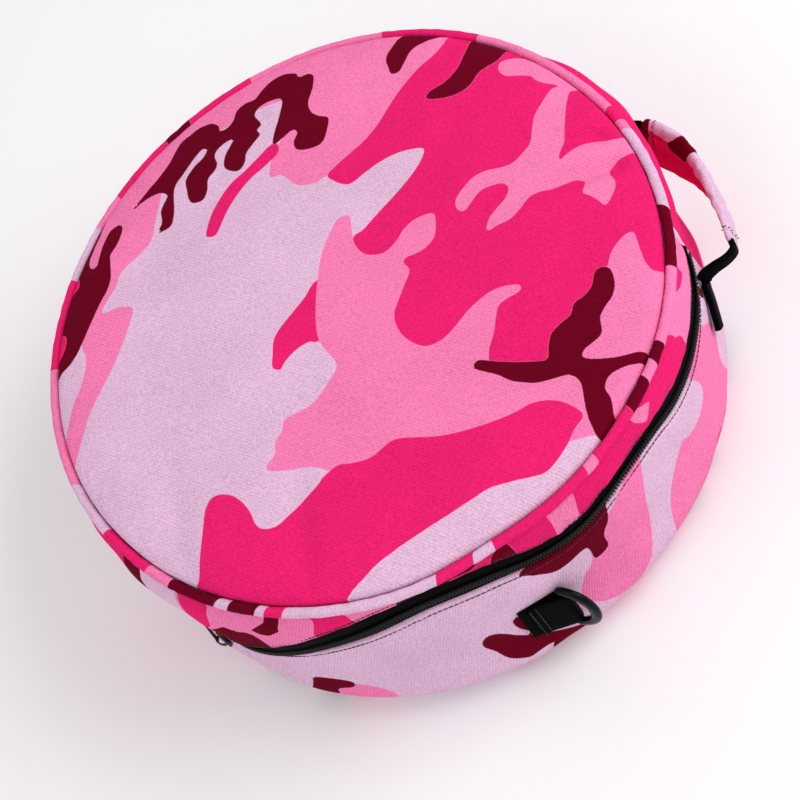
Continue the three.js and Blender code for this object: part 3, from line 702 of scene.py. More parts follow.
lowerChart = [
    ("pink", [(222, 20), (226, 26), (229, 25.5), (231.5, 21), (232.9, 14), (233, 7), (232, -8), (219, -8)]),
    ("pink", [(284.2, 82), (293, 100), (291, 75), (289.4, 59), (288.4, 45), (286.8, 29), (285.2, 17), (283.7, 12),
              (281.6, 8.6), (278.9, 8.6), (276.3, 11), (274.2, 15.6), (272.8, 21), (271.6, 29), (271.2, 37),
              (272, 45), (273.7, 53), (275.8, 58), (279, 80)]),
    ("pink", [(290.8, -8), (291.2, 8), (292, 23), (293.1, 33), (294.7, 41), (296.8, 47), (299, 51.5),
              (301.5, 53.5), (303, 49), (305.3, 45.4), (307.9, 43.4), (310, 44), (311.6, 47), (312.1, 51),
              (311.8, 58), (310.8, 66), (310, 80), (319, 80), (320.2, 69), (321.5, 63), (323.3, 55),
              (324.7, 50), (325.7, 43), (325.4, 35), (323.6, 29), (322.2, 23), (322.4, 14), (323.3, 2), (322, -8)]),
    ("hot", [(306.6, -4), (306.8, 3), (308, 7), (310, 8.2), (312, 6), (312.8, 2), (312.5, -4)]),
    ("dark", [(214, -6), (215.2, 1), (217, 11), (218.6, 21), (220, 30), (222.3, 32.6), (225.5, 32.4),
              (227.3, 30), (227.5, 26), (226.3, 21), (224, 18), (222.6, 15), (222.1, 9), (220.8, 2), (220, -6)]),
    ("dark", [(266.3, 95), (266.5, 86), (267.9, 81), (269, 77), (270.5, 73.6), (272.6, 72.6), (275.3, 73),
              (276.4, 71.4), (276.6, 67), (276.5, 59), (277.2, 56.8), (278.8, 56.8), (279.7, 59), (279.8, 66),
              (280.3, 71), (281.4, 74), (282.3, 79), (283, 90), (283, 100)]),
    ("dark", [(254.9, 53), (256.2, 51), (257.3, 47), (258.5, 41), (260, 35), (262.1, 29), (264.2, 23),
              (267.4, 15), (270, 11), (271.4, 7), (273, -8), (261.4, -8), (261.9, 8.6), (262.7, 12.6),
              (262, 14.4), (260, 13.6), (258.2, 12), (257.1, 13.6), (255.6, 18), (254.7, 23), (254.3, 29),
              (253.8, 36), (253, 42), (253, 47), (253.8, 51.5)]),
    ("dark", [(259.5, 55), (260.3, 57.5), (261.8, 54), (263, 40), (262, 33), (260.4, 40), (259.5, 48)]),
    ("dark", [(325.6, 76), (327.2, 76), (328.6, 62), (327.7, 59), (326.6, 66)]),
]
upperChart = [
    ("hot", [(200, 130), (213.6, 130), (213.2, 118), (211.2, 108), (209.4, 96), (207.8, 82), (205, 70), (200, 60)]),
    ("pink", [(213.6, 130), (213.2, 118), (211.2, 108), (209.4, 96), (207.4, 82), (206, 60), (232, 60),
              (231.6, 106), (232.4, 118), (232, 130)]),
    ("hot", [(232, 130), (232.4, 118), (231.4, 108), (230, 96), (232, 85), (240, 95), (238.6, 112), (238.3, 118),
             (238.3, 130)]),
    ("pink", [(238.3, 130), (238.3, 118), (239, 110), (239, 90), (254, 95), (250, 112), (247.2, 120), (247, 130)]),
    ("hot", [(255.5, 130), (254.6, 121), (256, 117), (257, 112), (252, 108), (250, 90), (300, 80), (322, 80),
             (314, 98), (311.5, 108), (311, 130)]),
    ("pink", [(274.6, 130), (274.2, 112), (274, 85), (279.6, 85), (278.6, 100), (279.4, 115), (279.6, 130)]),
    ("pink", [(294.4, 121), (295.6, 120), (297.3, 115), (299.4, 109), (298.6, 106), (297.2, 102), (296, 106),
              (294.8, 113)]),
    ("pink", [(311, 130), (311.6, 108), (313.4, 98), (316, 80), (334, 80), (334, 130)]),
    ("hot", [(316.4, 122), (319.5, 120.5), (322.4, 121), (322.8, 114), (323.6, 106), (321.6, 106.5), (319.4, 111)]),
    ("dark", [(224.5, 130), (224.4, 120), (223, 112), (220.6, 104), (217.8, 94), (219, 91), (221.2, 92),
              (222.4, 97), (223.6, 98), (225, 108), (227, 120), (227.3, 130)]),
    ("dark", [(201, 52), (206, 70), (208.6, 78), (210.6, 84.5), (213.2, 84), (216.2, 88), (217.6, 80), (217, 62),
              (206, 46)]),
    ("dark", [(247.2, 121), (252, 122), (258, 127), (261, 127), (261.2, 123), (259.6, 120.5), (256, 121),
              (257.6, 116), (255.2, 113.5), (250, 112), (247, 108)]),
    ("dark", [(263.6, 121), (265.4, 124.5), (266.8, 123), (267, 104), (266.4, 98), (264.4, 105), (262.6, 111)]),
]


def shifted(chart, dx, dy, turn):
    c, s = math.cos(math.radians(turn)), math.sin(math.radians(turn))
    return [(colour, [(dx + c * x - s * y, dy + s * x + c * y) for x, y in outline]) for colour, outline in chart]


def inMillimetres(chart):
    return [(colour, [(at * arcStep, z) for at, z in outline]) for colour, outline in chart]


# the back wall is cut from the same print, and its front edge follows the photograph
backChart = (shifted(lidChart, 437 * arcStep, 62, 0) + shifted(lidChart, 548 * arcStep, 55, 90)
             + shifted(lidChart, 380 * arcStep, 60, 180)
             + inMillimetres([
                 ("lilac", [(322, -20), (322, 140), (340, 140), (349, 120), (352, 90), (349, 60), (347, 30), (346, -20)]),
                 ("hot", [(331.6, 100), (333, 118), (340, 132), (352, 132), (355, 100), (354, 62), (349, 42),
                          (343, 34), (338, 37), (336.4, 44), (335.6, 60), (334, 82)]),
                 ("hot", [(350, 140), (350, 96), (365, 82), (395, 82), (420, 96), (430, 140)]),
                 ("hot", [(534, 140), (534, 60), (540, 20), (552, 20), (553, 60), (552.4, 100), (553, 140)]),
                 ("dark", [(551.6, 140), (551.4, 106), (553.4, 92), (556.4, 100), (556.2, 112), (556, 140)]),
                 ("lilac", [(556, 140), (556.2, 110), (556.6, 96), (554, 84), (553, 50), (552, -20), (575, -20),
                            (580, 140)])]))

hem = dict(rows=(0, 0.7, 1.4, 2.2, 3.0, 3.8, 4.6, 5.6, 7.0, 9.0), wide=5.6, lift=0.45, step=3, farthest=40,
           stitchIn=2.5, stitchEvery=2.8, groove=0.5, grooveWide=0.7, roll=0.9, rollWide=0.5, pucker=0.22,
           puckerPitch=8.5, puckerReach=9, seed=5)
wall = dict(rowStep=4.2, columnStep=4.0, seamRows=(0, 0.6, 1.3, 2.2, 3.6), seamDeep=1.1, seamWide=0.9,
            pressure=1.6, slack=0.004, cap=1.5, held=1.6, heldReach=6, sag=0.5, sagPitch=42, sagFade=8, seed=11)


def gradedRows(length, fine, step):
    # distances from a sewn edge, close together near it
    near = [d for d in fine if d < length * 0.6]
    count = max(2, round((length - near[-1]) / step))
    return np.array(near + list(np.linspace(near[-1], length, count + 1)[1:]))


def makeWall(name, start, end, low, high, chart, node, hemAt=None):
    middle = (start + end) / 2
    half = gradedRows((middle - start) * arcStep, wall["seamRows"], wall["columnStep"]) / arcStep
    at = np.concatenate([start + half, end - half[-2::-1]])
    lows, highs = low(at), high(at)
    length = np.mean(highs - lows)
    if hemAt:
        shares = gradedRows(length, hem["rows"], wall["rowStep"]) / length
        shares = shares if hemAt == "low" else 1 - shares[::-1]
    else:
        shares = np.linspace(0, 1, round(length / wall["rowStep"]) + 1)
    sections, held = [], []
    for a, z0, z1 in zip(at, lows, highs):
        z = z0 + (z1 - z0) * shares
        fromEnd = min(a - start, end - a)
        outer = bandRadius(a, z)
        if hemAt:
            fromEdge = np.minimum(np.abs(z - (z0 if hemAt == "low" else z1)), hem["farthest"])
            tight = np.clip(fromEnd / zipper["fade"], 0, 1)
            outer = outer + tight * hem["lift"] / (1 + np.exp((fromEdge - hem["wide"]) * hem["step"]))
            outer = outer - hem["groove"] * np.exp(-((fromEdge - hem["stitchIn"]) / hem["grooveWide"]) ** 2)
            outer = outer - hem["roll"] * np.exp(-(fromEdge / hem["rollWide"]) ** 2)
        inner = bandRadius(a, z) - bag["wallPad"]
        outer = outer - wall["seamDeep"] * math.exp(-(fromEnd * arcStep / wall["seamWide"]) ** 2)
        sections.append(np.concatenate([place(a, outer, z), place(a, inner, z)[::-1]]))
        edge = np.minimum(np.minimum(z - z0, z1 - z), fromEnd * arcStep)
        held += list(np.clip(wall["held"] - edge / wall["heldReach"], 0, 1)) + [1] * len(z)
    piece = loft(name, sections)
    puff(piece, held, wall["pressure"], wall["slack"], wall["cap"])
    refine(piece)
    p = coords(piece)
    at = np.degrees(np.arctan2(p[:, 1], p[:, 0])) % 360
    at = middle + turnGap(at, middle)
    flat = np.stack([at * arcStep, p[:, 2]], -1)
    radius = np.hypot(p[:, 0], p[:, 1])
    up = (p[:, 2] - low(at)) / (high(at) - low(at))
    free = np.clip(np.minimum(up, 1 - up) * wall["sagFade"], 0, 1)
    out = wall["sag"] * free * ripple(flat, wall["sagPitch"], wall["seed"])
    if hemAt:
        fromEdge = np.abs(p[:, 2] - (low(at) if hemAt == "low" else high(at)))
        pucker = ripple(flat * [1, 0.15], hem["puckerPitch"], hem["seed"])
        out += hem["pucker"] * np.exp(-fromEdge / hem["puckerReach"]) * np.clip(fromEdge, 0, 1) * pucker
    p[:, :2] *= (1 + out / radius)[:, None]
    setCoords(piece, p)
    dye(piece, onDrum(p, at) if hemAt else flat, chart)
    layCloth(piece, flat)
    return finishPiece(piece, wallCloth, "camo_cloth", node)


seamTurn = math.degrees(bag["gap"] / bag["seamRadius"])
flatLow, flatHigh = (lambda at: at * 0 + wallLow), (lambda at: at * 0 + wallTop)
zipUnder = lambda at: zipHeight(at) - zipHalf(at)
zipOver = lambda at: np.minimum(zipHeight(at) + zipHalf(at), wallTop - zipper["least"])
lowerBand = makeWall("lowerBand", zipper["start"], zipper["end"], flatLow, zipUnder, inMillimetres(lowerChart),
                     "lower_band", "high")
upperBand = makeWall("upperBand", zipper["start"], zipper["end"], zipOver, flatHigh, inMillimetres(upperChart),
                     "upper_band", "low")
backWall = makeWall("backWall", zipper["end"] + seamTurn, zipper["start"] + 360 - seamTurn, flatLow, flatHigh,
                    backChart, "hinge_panel")
print("walls done")


basePad = dict(rings=40, edge=((0.3, 0.12), (0.6, 0.6), (0.85, 1.1), (1, 1.7)), lining=((0.6, 120), (0.2, 36)),
               chartAt=(6, -4, 130))


def makeBase():
    edge = (bottomRadius - bag["corner"]) / bottomRadius
    k, grow = basePad["rings"], panel["perRing"]
    outer = [(edge * i / k, 0, grow * i) for i in range(1, k + 1)]
    outer += [(edge + (1 - edge) * t, cord["lift"] * z, grow * k) for t, z in basePad["edge"]]
    under = [(share, wallLow - bag["gap"], grow * k) for share in (1, edge)]
    under += [(share, bag["lidPad"], count) for share, count in basePad["lining"]]
    base = discPiece("basePanel", bottomRadius, outer + under)
    refine(base)
    p = coords(base)
    dye(base, p[:, :2], shifted(lidChart, *basePad["chartAt"]))
    layCloth(base, p[:, :2])
    return finishPiece(base, lidCloth, "camo_cloth", "bottom_panel")


base = makeBase()

# Piping: a cloth strip round a cord. Each row is where a colour starts.
pipingRuns = [(120, "lilac"), (131, "hot"), (150, "pink"), (174.6, "lilac"), (187.5, "hot"), (199.2, "pink"),
              (204.8, "dark"), (214.5, "lilac"), (217.2, "dark"), (222.2, "lilac"), (224, "hot"), (227.2, "lilac"),
              (253.9, "hot"), (260.6, "lilac"), (264.7, "hot"), (283.4, "pink"), (286, "hot"), (295.6, "dark"),
              (301.2, "pink"), (304.4, "dark"), (308, "pink"), (321.8, "dark"), (333.4, "lilac"), (351.6, "pink"),
              (354, "hot"), (358.2, "pink"), (391, "hot"), (411, "pink"), (438, "hot"), (452, "dark"), (458, "hot"),
              (472, "pink"), (480, "pink")]
pipe = dict(columns=720, sides=20, slant=0.35, wrinkle=0.09, wrinklePitch=7, reach=20)


def makePiping(name, seam, z, node, seed):
    columns, sides = pipe["columns"], pipe["sides"]
    turn = np.arange(sides) * 360 / sides
    at = pipingRuns[0][0] + np.arange(columns) * 360 / columns
    ring = seam + cordOut + rimWave(at)
    points = np.stack([np.repeat(at * arcStep, sides), np.tile(turn * 0.05, columns)], -1)
    swell = 1 - pipe["wrinkle"] * 0.5 + pipe["wrinkle"] * 0.5 * ripple(points, pipe["wrinklePitch"], seed)
    sections = []
    for i, a in enumerate(at):
        r = cord["radius"] * swell[i * sides:(i + 1) * sides]
        sections.append(place(a, ring[i] + r * np.cos(np.radians(turn)), z + r * np.sin(np.radians(turn))))
    piece = loft(name, sections, loop=True)
    girth = turnGap(turn, 0) / 360 * 2 * math.pi * cord["radius"]
    flat = np.stack([np.repeat(at * arcStep, sides), np.tile(girth, columns)], -1)
    chart = []
    for (start, colour), (end, _) in zip(pipingRuns[:-1], pipingRuns[1:]):
        if colour != "lilac":
            a, b, v = start * arcStep, end * arcStep, pipe["reach"]
            s = v * pipe["slant"]
            chart.append((colour, [(a - s, -v), (a, 0), (a + s, v), (b + s, v), (b, 0), (b - s, -v)]))
    dye(piece, flat, chart)
    layCloth(piece, flat)
    return finishPiece(piece, pipingCloth, "piping_cloth", node)


makePiping("pipingTop", bag["seamRadius"], cordTop, "top_piping", 21)
makePiping("pipingBottom", bottomRadius, cordBottom, "bottom_piping", 22)
print("base and piping done")


# Zip: two woven tapes, a coil of closed teeth, and a slider left at the closed end
tape = dict(rows=9, columns=200, bow=0.35, bowNarrow=8, foldAt=0.62, fold=0.35, foldWide=0.09)


def makeTape(name, low, high, node, foldAt=None):
    at = np.linspace(zipper["start"], zipper["end"], tape["columns"] + 1)
    t = np.linspace(0, 1, tape["rows"])
    sections = []
    flat = []
    for a in at:
        z = low(a) + (high(a) - low(a)) * t
        face = tapeFace(a, z)
        rise = tape["bow"] * np.sin(math.pi * t) * min(1, (high(a) - low(a)) / tape["bowNarrow"])
        if foldAt:
            rise = rise + tape["fold"] * np.exp(-((t - foldAt) / tape["foldWide"]) ** 2)
        sections.append(np.concatenate([place(a, face + rise, z), place(a, face - zipper["tape"], z)[::-1]]))
        across = z - zipMeet(a)
        flat += [(a * arcStep, v) for v in (*across, *across[::-1])]
    piece = loft(name, sections)
    layCloth(piece, np.array(flat))
    return finishPiece(piece, tapeCloth, "zip_cloth", node)


halfGap = bag["gap"] / 2
makeTape("tapeLower", lambda a: zipUnder(a) + bag["gap"], lambda a: zipMeet(a) - halfGap, "zip_tape_lower")
makeTape("tapeUpper", lambda a: zipMeet(a) + halfGap, lambda a: zipOver(a) - bag["gap"], "zip_tape_upper",
         tape["foldAt"])


def repeatTree():
    # sets one item again and again along a line, facing out, and gives plain faces
    tree = bpy.data.node_groups.new("repeatAlong", "GeometryNodeTree")
    for name, kind in (("Line", "Geometry"), ("Item", "Object"), ("Every", "Float"), ("Uneven", "Float"),
                       ("Seed", "Int"), ("Finish", "Material")):
        tree.interface.new_socket(name, in_out="INPUT", socket_type="NodeSocket" + kind)
    tree.interface.new_socket("Pieces", in_out="OUTPUT", socket_type="NodeSocketGeometry")
    given = makeNode(tree, "NodeGroupInput").out.node.outputs
    value = {socket.name: Socket(tree, socket) for socket in given}
    curve = makeNode(tree, "GeometryNodeMeshToCurve", None, {0: value["Line"]})
    curve = makeNode(tree, "GeometryNodeResampleCurve", {"mode": "LENGTH"}, {0: curve, 3: value["Every"]})
    item = makeNode(tree, "GeometryNodeObjectInfo", {"transform_space": "ORIGINAL"}, {0: value["Item"]}, output=4)
    tangent = makeNode(tree, "GeometryNodeInputTangent")
    outward = makeNode(tree, "GeometryNodeInputNamedAttribute", {"data_type": "FLOAT_VECTOR"}, {0: "outward"})
    align = "FunctionNodeAlignRotationToVector"
    turn = makeNode(tree, align, {"axis": "Z", "pivot_axis": "AUTO"}, {2: outward})
    turn = makeNode(tree, align, {"axis": "X", "pivot_axis": "Z"}, {0: turn, 2: tangent})
    wander = makeNode(tree, "FunctionNodeRandomValue", {"data_type": "FLOAT"},
                      {2: -1.0, 3: 1.0, 8: value["Seed"]}, output=1)
    uneven = wander * value["Uneven"]
    spin = makeNode(tree, "FunctionNodeAxisAngleToRotation", None, {0: (0, 0, 1), 1: uneven})
    turn = makeNode(tree, "FunctionNodeRotateRotation", {"rotation_space": "LOCAL"}, {0: turn, 1: spin})
    placed = makeNode(tree, "GeometryNodeInstanceOnPoints", None, {0: curve, 2: item, 5: turn, 6: 1 + uneven})
    plain = makeNode(tree, "GeometryNodeRealizeInstances", None, {0: placed})
    done = makeNode(tree, "GeometryNodeSetMaterial", None, {0: plain, 2: value["Finish"]})
    makeNode(tree, "NodeGroupOutput", None, {0: done})
    return tree


repeatAlong = repeatTree()


def repeatItem(name, line, outward, item, every, finish, uneven=0.0, seed=1):
    # line and outward are rows of points and of the way that they face
    mesh = bpy.data.meshes.new(name)
    mesh.from_pydata((np.asarray(line) * mm).tolist(), [(i, i + 1) for i in range(len(line) - 1)], [])
    layer = mesh.attributes.new("outward", "FLOAT_VECTOR", "POINT")
    layer.data.foreach_set("vector", np.asarray(outward, np.float32).ravel())
    piece = link(name, mesh)
    extra = piece.modifiers.new("repeat", "NODES")
    extra.node_group = repeatAlong
    given = {"Item": item, "Every": every * mm, "Uneven": uneven, "Seed": seed, "Finish": finish}
    for socket in repeatAlong.interface.items_tree:
        if socket.in_out == "INPUT" and socket.name in given:
            extra[socket.identifier] = given[socket.name]
    settle(piece)
    piece.data.shade_smooth()
    return piece


def joined(name, pieces):
    # several plain pieces as one
    for piece in pieces:
        for layer in list(piece.data.attributes):
            if layer.name == "outward":
                piece.data.attributes.remove(layer)
    with bpy.context.temp_override(active_object=pieces[0], object=pieces[0], selected_objects=pieces,
                                   selected_editable_objects=pieces):
        bpy.ops.object.join()
    pieces[0].name = name
    pieces[0].data.name = name
    return pieces[0]


def bead(name, stations, sides=8):
    # a small rounded item lying along X, from rows of (x, half width, half height)
    turn = np.arange(sides) * 2 * math.pi / sides
    sections = [np.stack([turn * 0 + x, w * np.cos(turn), h * np.sin(turn)], -1) for x, w, h in stations]
    return loft(name, sections)


stitch = dict(stations=[(-1.25, 0.08, 0.05), (-1.0, 0.26, 0.2), (0, 0.3, 0.3), (1.0, 0.26, 0.2), (1.25, 0.08, 0.05)],
              uneven=0.06, lift=0.32)
teeth = dict(every=1.75, lift=0.9, inset=0.9, stagger=0.22, coreShare=0.92,
             outline=[(-0.5, -0.4), (-0.48, 0.25), (-0.22, 0.58), (0.22, 0.58), (0.48, 0.25), (0.5, -0.4)],
             layers=[(0.12, 0.75), (0.6, 1.1), (1.5, 1.15), (2.0, 0.8), (2.2, 0.2)],
             core=[(-1, 0.1), (-0.8, 0.75), (-0.15, 0.8), (0.15, 0.8), (0.8, 0.75), (1, 0.1)])
stitchItem = bead("stitchItem", stitch["stations"])
toothItem = loft("toothItem", [[(x, y, z * k) for x, z in teeth["outline"]] for y, k in teeth["layers"]])


def zipLine(start, end, height, lift, face=bandRadius, count=400):
    at = np.linspace(start, end, count)
    z = height(at)
    return place(at, face(at, z) + lift, z), place(at, 1, 0)


def makeCoil():
    start, end = zipper["start"] + teeth["inset"], zipper["end"] - teeth["inset"]
    lift = zipper["seat"] + teeth["lift"]
    upper, upperOut = zipLine(start, end, zipMeet, lift, tapeFace)
    lower, lowerOut = zipLine(start + teeth["stagger"], end, zipMeet, lift, tapeFace)
    parts = [repeatItem("coilUpper", upper, upperOut, toothItem, teeth["every"], coilPlastic),
             repeatItem("coilLower", lower[::-1], lowerOut[::-1], toothItem, teeth["every"], coilPlastic)]
    at = np.linspace(start, end, 200)
    share = np.clip(zipHalf(at) * 2 / zipper["band"] + 0.15, 0.3, 1)
    reach = zipper["coilWide"] / 2 * share * teeth["coreShare"]
    core = [[place(a, tapeFace(a, zipMeet(a)) + zipper["seat"] + h, zipMeet(a) + s * w) for s, h in teeth["core"]]
            for a, w in zip(at, reach)]
    parts.append(loft("coilCore", core))
    return finishPiece(joined("zipCoil", parts), coilPlastic, "zip_plastic", "zip_coil")


makeCoil()


def stitchRow(name, start, end, height, lift, seed):
    line, out = zipLine(start, end, height, lift)
    row = repeatItem(name, line, out, stitchItem, hem["stitchEvery"], darkThread, stitch["uneven"], seed)
    return finishPiece(row, darkThread, "zip_cloth")


slider = dict(at=207.4, length=11, wide=8.6, thick=2.6, bridgeHigh=2.6, bridgeHalf=3.2, sunk=0.5, pull=22,
              pullWide=5, pullThick=1.4, hole=1.3, endRound=0.1)
sliderShape = dict(along=[-1, -0.5, 0.3, 1], wide=[0.45, 0.8, 1, 0.85])


def roundedBlock(turn, wide, low, high, power=0.45):
    # one rounded section: across the zip, and out from the wall
    x = np.sign(np.cos(turn)) * np.abs(np.cos(turn)) ** power
    y = np.sign(np.sin(turn)) * np.abs(np.sin(turn)) ** power
    return x * wide, (low + high) / 2 + y * (high - low) / 2


def makeSlider():
    turn = np.arange(20) * 2 * math.pi / 20
    perLength = 1 / (math.radians(1) * bag["seamRadius"])
    seat = lambda at: tapeFace(at, zipMeet(at)) + zipper["seat"] + zipper["coilThick"] + 2 * bag["gap"]
    sections = []
    for t in np.linspace(-1, 1, 25):
        at = slider["at"] + t * slider["length"] / 2 * perLength
        shrink = 1 - 0.35 * max(0, abs(t) - 0.85) / 0.15
        wide = slider["wide"] / 2 * follow(sliderShape, "along", "wide", t) * shrink
        across, out = roundedBlock(turn, wide, seat(at), seat(at) + slider["thick"])
        sections.append(place(at, out, zipMeet(at) + across))
    body = loft("sliderBody", sections)
    z, base = zipMeet(slider["at"]), seat(slider["at"]) + slider["thick"]
    arch = []
    for a in np.linspace(0, math.pi, 17):
        at = slider["at"] - slider["bridgeHalf"] * math.cos(a) * perLength
        across, out = roundedBlock(turn, 1.1 + 0.3 * abs(math.cos(a)), -0.45, 0.45)
        rise = base - slider["sunk"] + slider["bridgeHigh"] * math.sin(a) ** 0.6
        arch.append(place(at, rise + out, z + across))
    whole = joined("zipSlider", [body, loft("sliderBridge", arch)])
    finishPiece(whole, sliderMetal, "slider_metal", "zip_slider")
    out = base + bag["gap"]
    tip = slider["at"] - slider["pull"] * perLength
    first = place(slider["at"] - slider["pull"] * 0.1 * perLength, out, z)
    last = place(tip, wallRadius(tip, z) + bag["gap"] * 2, z)
    run, lift = unit(last - first), place(slider["at"] - slider["pull"] / 2 * perLength, 1, 0)
    length = np.linalg.norm(last - first)
    bars = []
    for side in (-1, 1):  # two rails that meet at both ends leave the pull's eyes open
        sections = []
        for t in np.linspace(0, 1, 33):
            short = max(0, 1 - min(t, 1 - t) / slider["endRound"])
            outer = slider["pullWide"] / 2 * (0.62 + 0.38 * math.sqrt(1 - short ** 2)) * (0.8 + 0.2 * t)
            eye = slider["hole"] * max(math.exp(-((t - 0.1) / 0.07) ** 2), math.exp(-((t - 0.86) / 0.08) ** 2))
            inner = 0.001 + eye * (0 < t < 1)
            across, rise = roundedBlock(turn, (outer - inner) / 2, 0, slider["pullThick"])
            middle = first + run * length * t
            sections.append(middle + (side * (outer + inner) / 2 + across)[:, None] * np.array([0, 0, 1.0])
                            + rise[:, None] * lift)
        bars.append(loft("pullRail", sections))
    finishPiece(joined("zipPull", bars), sliderMetal, "slider_metal", "zip_pull")


makeSlider()

seamStart, seamLift = zipper["start"] + 0.6, hem["lift"] - hem["groove"] + stitch["lift"]
stitchRow("stitchesLower", seamStart, zipper["end"] - 1.2, lambda a: zipUnder(a) - hem["stitchIn"], seamLift, 4)
stitchRow("stitchesUpper", seamStart, 327.4, lambda a: zipOver(a) + hem["stitchIn"], seamLift, 5)
print("zip done")

# Handle: a padded sleeve sewn round black webbing that is bare at both ends
handle = dict(at=-10, half=20, height=63, stand=22.2, sleeveWide=28, sleeveThick=6.6, pinch=0.42, start=-0.74,
              end=0.62, wide=25, thick=1.8, foldedWide=8, foldedThick=3.4, lay=8)
handleLean = dict(along=[-0.8, -0.4, 0, 0.3, 0.5, 0.62, 0.78, 1.1],
                  lean=[-0.12, -0.15, 0.08, 0.42, 0.5, 0.36, 0, 0])
handleRoute = dict(along=[-1, -0.94, -0.86, -0.7, -0.4, -0.1, 0.2, 0.45, 0.65, 0.85, 1],
                   out=[0.14, 0.55, 0.9, 0.95, 1, 1, 0.9, 0.7, 0.48, 0.25, 0.11])
nearStrap = dict(along=[-0.745, -0.82, -0.9, -0.96, -1.01, -1.06, -1.14, -1.22, -1.28],
                 rise=[0.03, 0.06, 0.09, 0.1, 0.07, -0.03, -0.14, -0.24, -0.31],
                 turn=[0, 0, 0, 10, 30, 60, 68, 70, 70], lift=[0, 0, 0, 0, 0.5, 0.35, 0.2, 0.15, 0.1])


def strapFrames(points, across):
    # the width and face directions at every stop of a strap
    run = unit(np.gradient(points, axis=0))
    across = unit(across - (across * run).sum(-1, keepdims=True) * run)
    return across, np.cross(run, across)


def lengths(points):
    # how far along its route each point lies
    return np.concatenate([[0], np.cumsum(np.linalg.norm(np.diff(points, axis=0), axis=1))])


def handlePoint(along, z, thick):
    at = handle["at"] + handle["half"] * along
    rest = wallRadius(at, z) + bag["gap"] + thick / 2
    out = handle["stand"] * follow(handleRoute, "along", "out", np.clip(along, -1, 1))
    return place(at, np.maximum(rest, wallRadius(at, z) + out), z)


def leaning(points, along):
    # the way across the handle, which leans out more on its far half
    return unit(points * [1, 1, 0]) * follow(handleLean, "along", "lean", along)[:, None] + [0, 0, 1.0]


sleeve = dict(steps=150, sides=56, channels=(-0.45, -0.05, 0.35), channelDeep=1.5, channelWide=0.07, hemWide=7,
              tuck=0.16, tuckWide=1.3, fat=0.1, fatReach=8, seamDeep=0.2, seamWide=0.9, seamStep=0.1, ease=0.92,
              wrinkle=0.35, wrinklePitch=11, seed=31, stitchEvery=3)
sleeveChart = [
    ("pink", [(10, -40), (6, -24), (16, -19), (30, -20), (44, -24), (40, -40)]),
    ("hot", [(42, 14.2), (46, 18), (60, 19), (104, 18), (104, 50), (38, 50), (40, 30)]),
    ("hot", [(40, -21), (46, -20), (70, -19.5), (104, -19), (104, -50), (36, -50), (38, -30)]),
    ("dark", [(53, 14.5), (51, 8), (52, 3), (58, -4), (65, -9), (70, -16), (74, -22), (60, -24), (54, -12),
              (46, 4), (46, 16)]),
    ("dark", [(86.6, -12), (88, -3), (87, 5), (88, 14), (88, 28), (100, 28), (100, -28), (88, -28)]),
]


def makeSleeve():
    along = np.linspace(handle["start"], handle["end"], sleeve["steps"])
    points = handlePoint(along, handle["height"], handle["sleeveThick"])
    across, face = strapFrames(points, leaning(points, along))
    if (face[0] @ points[0]) < 0:
        face = -face
    u = lengths(points)
    turn = np.arange(sleeve["sides"]) * 2 * math.pi / sleeve["sides"]
    half, deep = handle["sleeveWide"] / 2, handle["sleeveThick"] / 2
    w = np.sign(np.cos(turn)) * np.abs(np.cos(turn)) ** 0.62
    t = np.sign(np.sin(turn)) * np.abs(np.sin(turn)) ** 0.72
    v = np.concatenate([[0], np.cumsum(np.hypot(np.diff(w * half), np.diff(t * deep)))])
    v = (v - v[-1] / 4 + 8 * v[-1]) % v[-1]
    v = np.where(v > v.max() / 2, v - v.max(), v)
    sections, flat = [], []
    for i in range(len(u)):
        end = min(u[i], u[-1] - u[i])
        pastHem = end - sleeve["hemWide"]
        shrink = 1 - sleeve["tuck"] * math.exp(-(end / sleeve["tuckWide"]) ** 2)
        fat = 1 + sleeve["fat"] * math.tanh(max(pastHem, 0) / sleeve["fatReach"])
        seam = sleeve["seamDeep"] * math.exp(-(pastHem / sleeve["seamWide"]) ** 2)
        crease = seam + (sleeve["seamStep"] if pastHem < 0 else 0)
        tt = t * deep * shrink * (fat - crease) * sleeve["ease"]
        inner = np.clip(-t, 0, 1) ** 0.5
        for c in sleeve["channels"]:
            tt = tt + inner * sleeve["channelDeep"] * np.exp(-((w - c) / sleeve["channelWide"]) ** 2)
        pinched = min(1, max(0, along[i] / handle["start"]))
        pinched = handle["pinch"] * pinched * pinched * (3 - 2 * pinched)
        tt = tt * (1 - pinched)
        ww = w * half * (1 - pinched) * (shrink - 0.02 + 0.02 * math.sin(u[i] / 6.5))
        spot = np.stack([u[i] + ww * 0.2, ww, tt * 2], -1)
        wrinkle = sleeve["wrinkle"] * ripple(spot, sleeve["wrinklePitch"], sleeve["seed"])
        tt = tt + np.sign(t) * wrinkle * min(1, end / 5)
        sections.append(points[i] + ww[:, None] * across[i] + tt[:, None] * face[i])
        flat += [(u[i], x) for x in v]
    for name, hemAt in (("hemNear", sleeve["hemWide"]), ("hemFar", u[-1] - sleeve["hemWide"])):
        i = np.searchsorted(u, hemAt)
        line = np.concatenate([sections[i], sections[i][:1]])
        stitched = repeatItem(name, line, unit(line - points[i]), stitchItem, sleeve["stitchEvery"], darkThread,
                              stitch["uneven"], 7)
        finishPiece(stitched, darkThread, "camo_cloth")
    piece = loft("handleSleeve", sections)
    flat = np.array(flat)
    dye(piece, flat, sleeveChart)
    layCloth(piece, flat)
    return finishPiece(piece, sleeveCloth, "camo_cloth", "handle_sleeve")


handleSleeve = makeSleeve()

selvage = dict(across=[-1, -0.92, -0.7, -0.35, 0, 0.35, 0.7, 0.92, 1], thin=0.72, slit=0.3, slitFade=12)


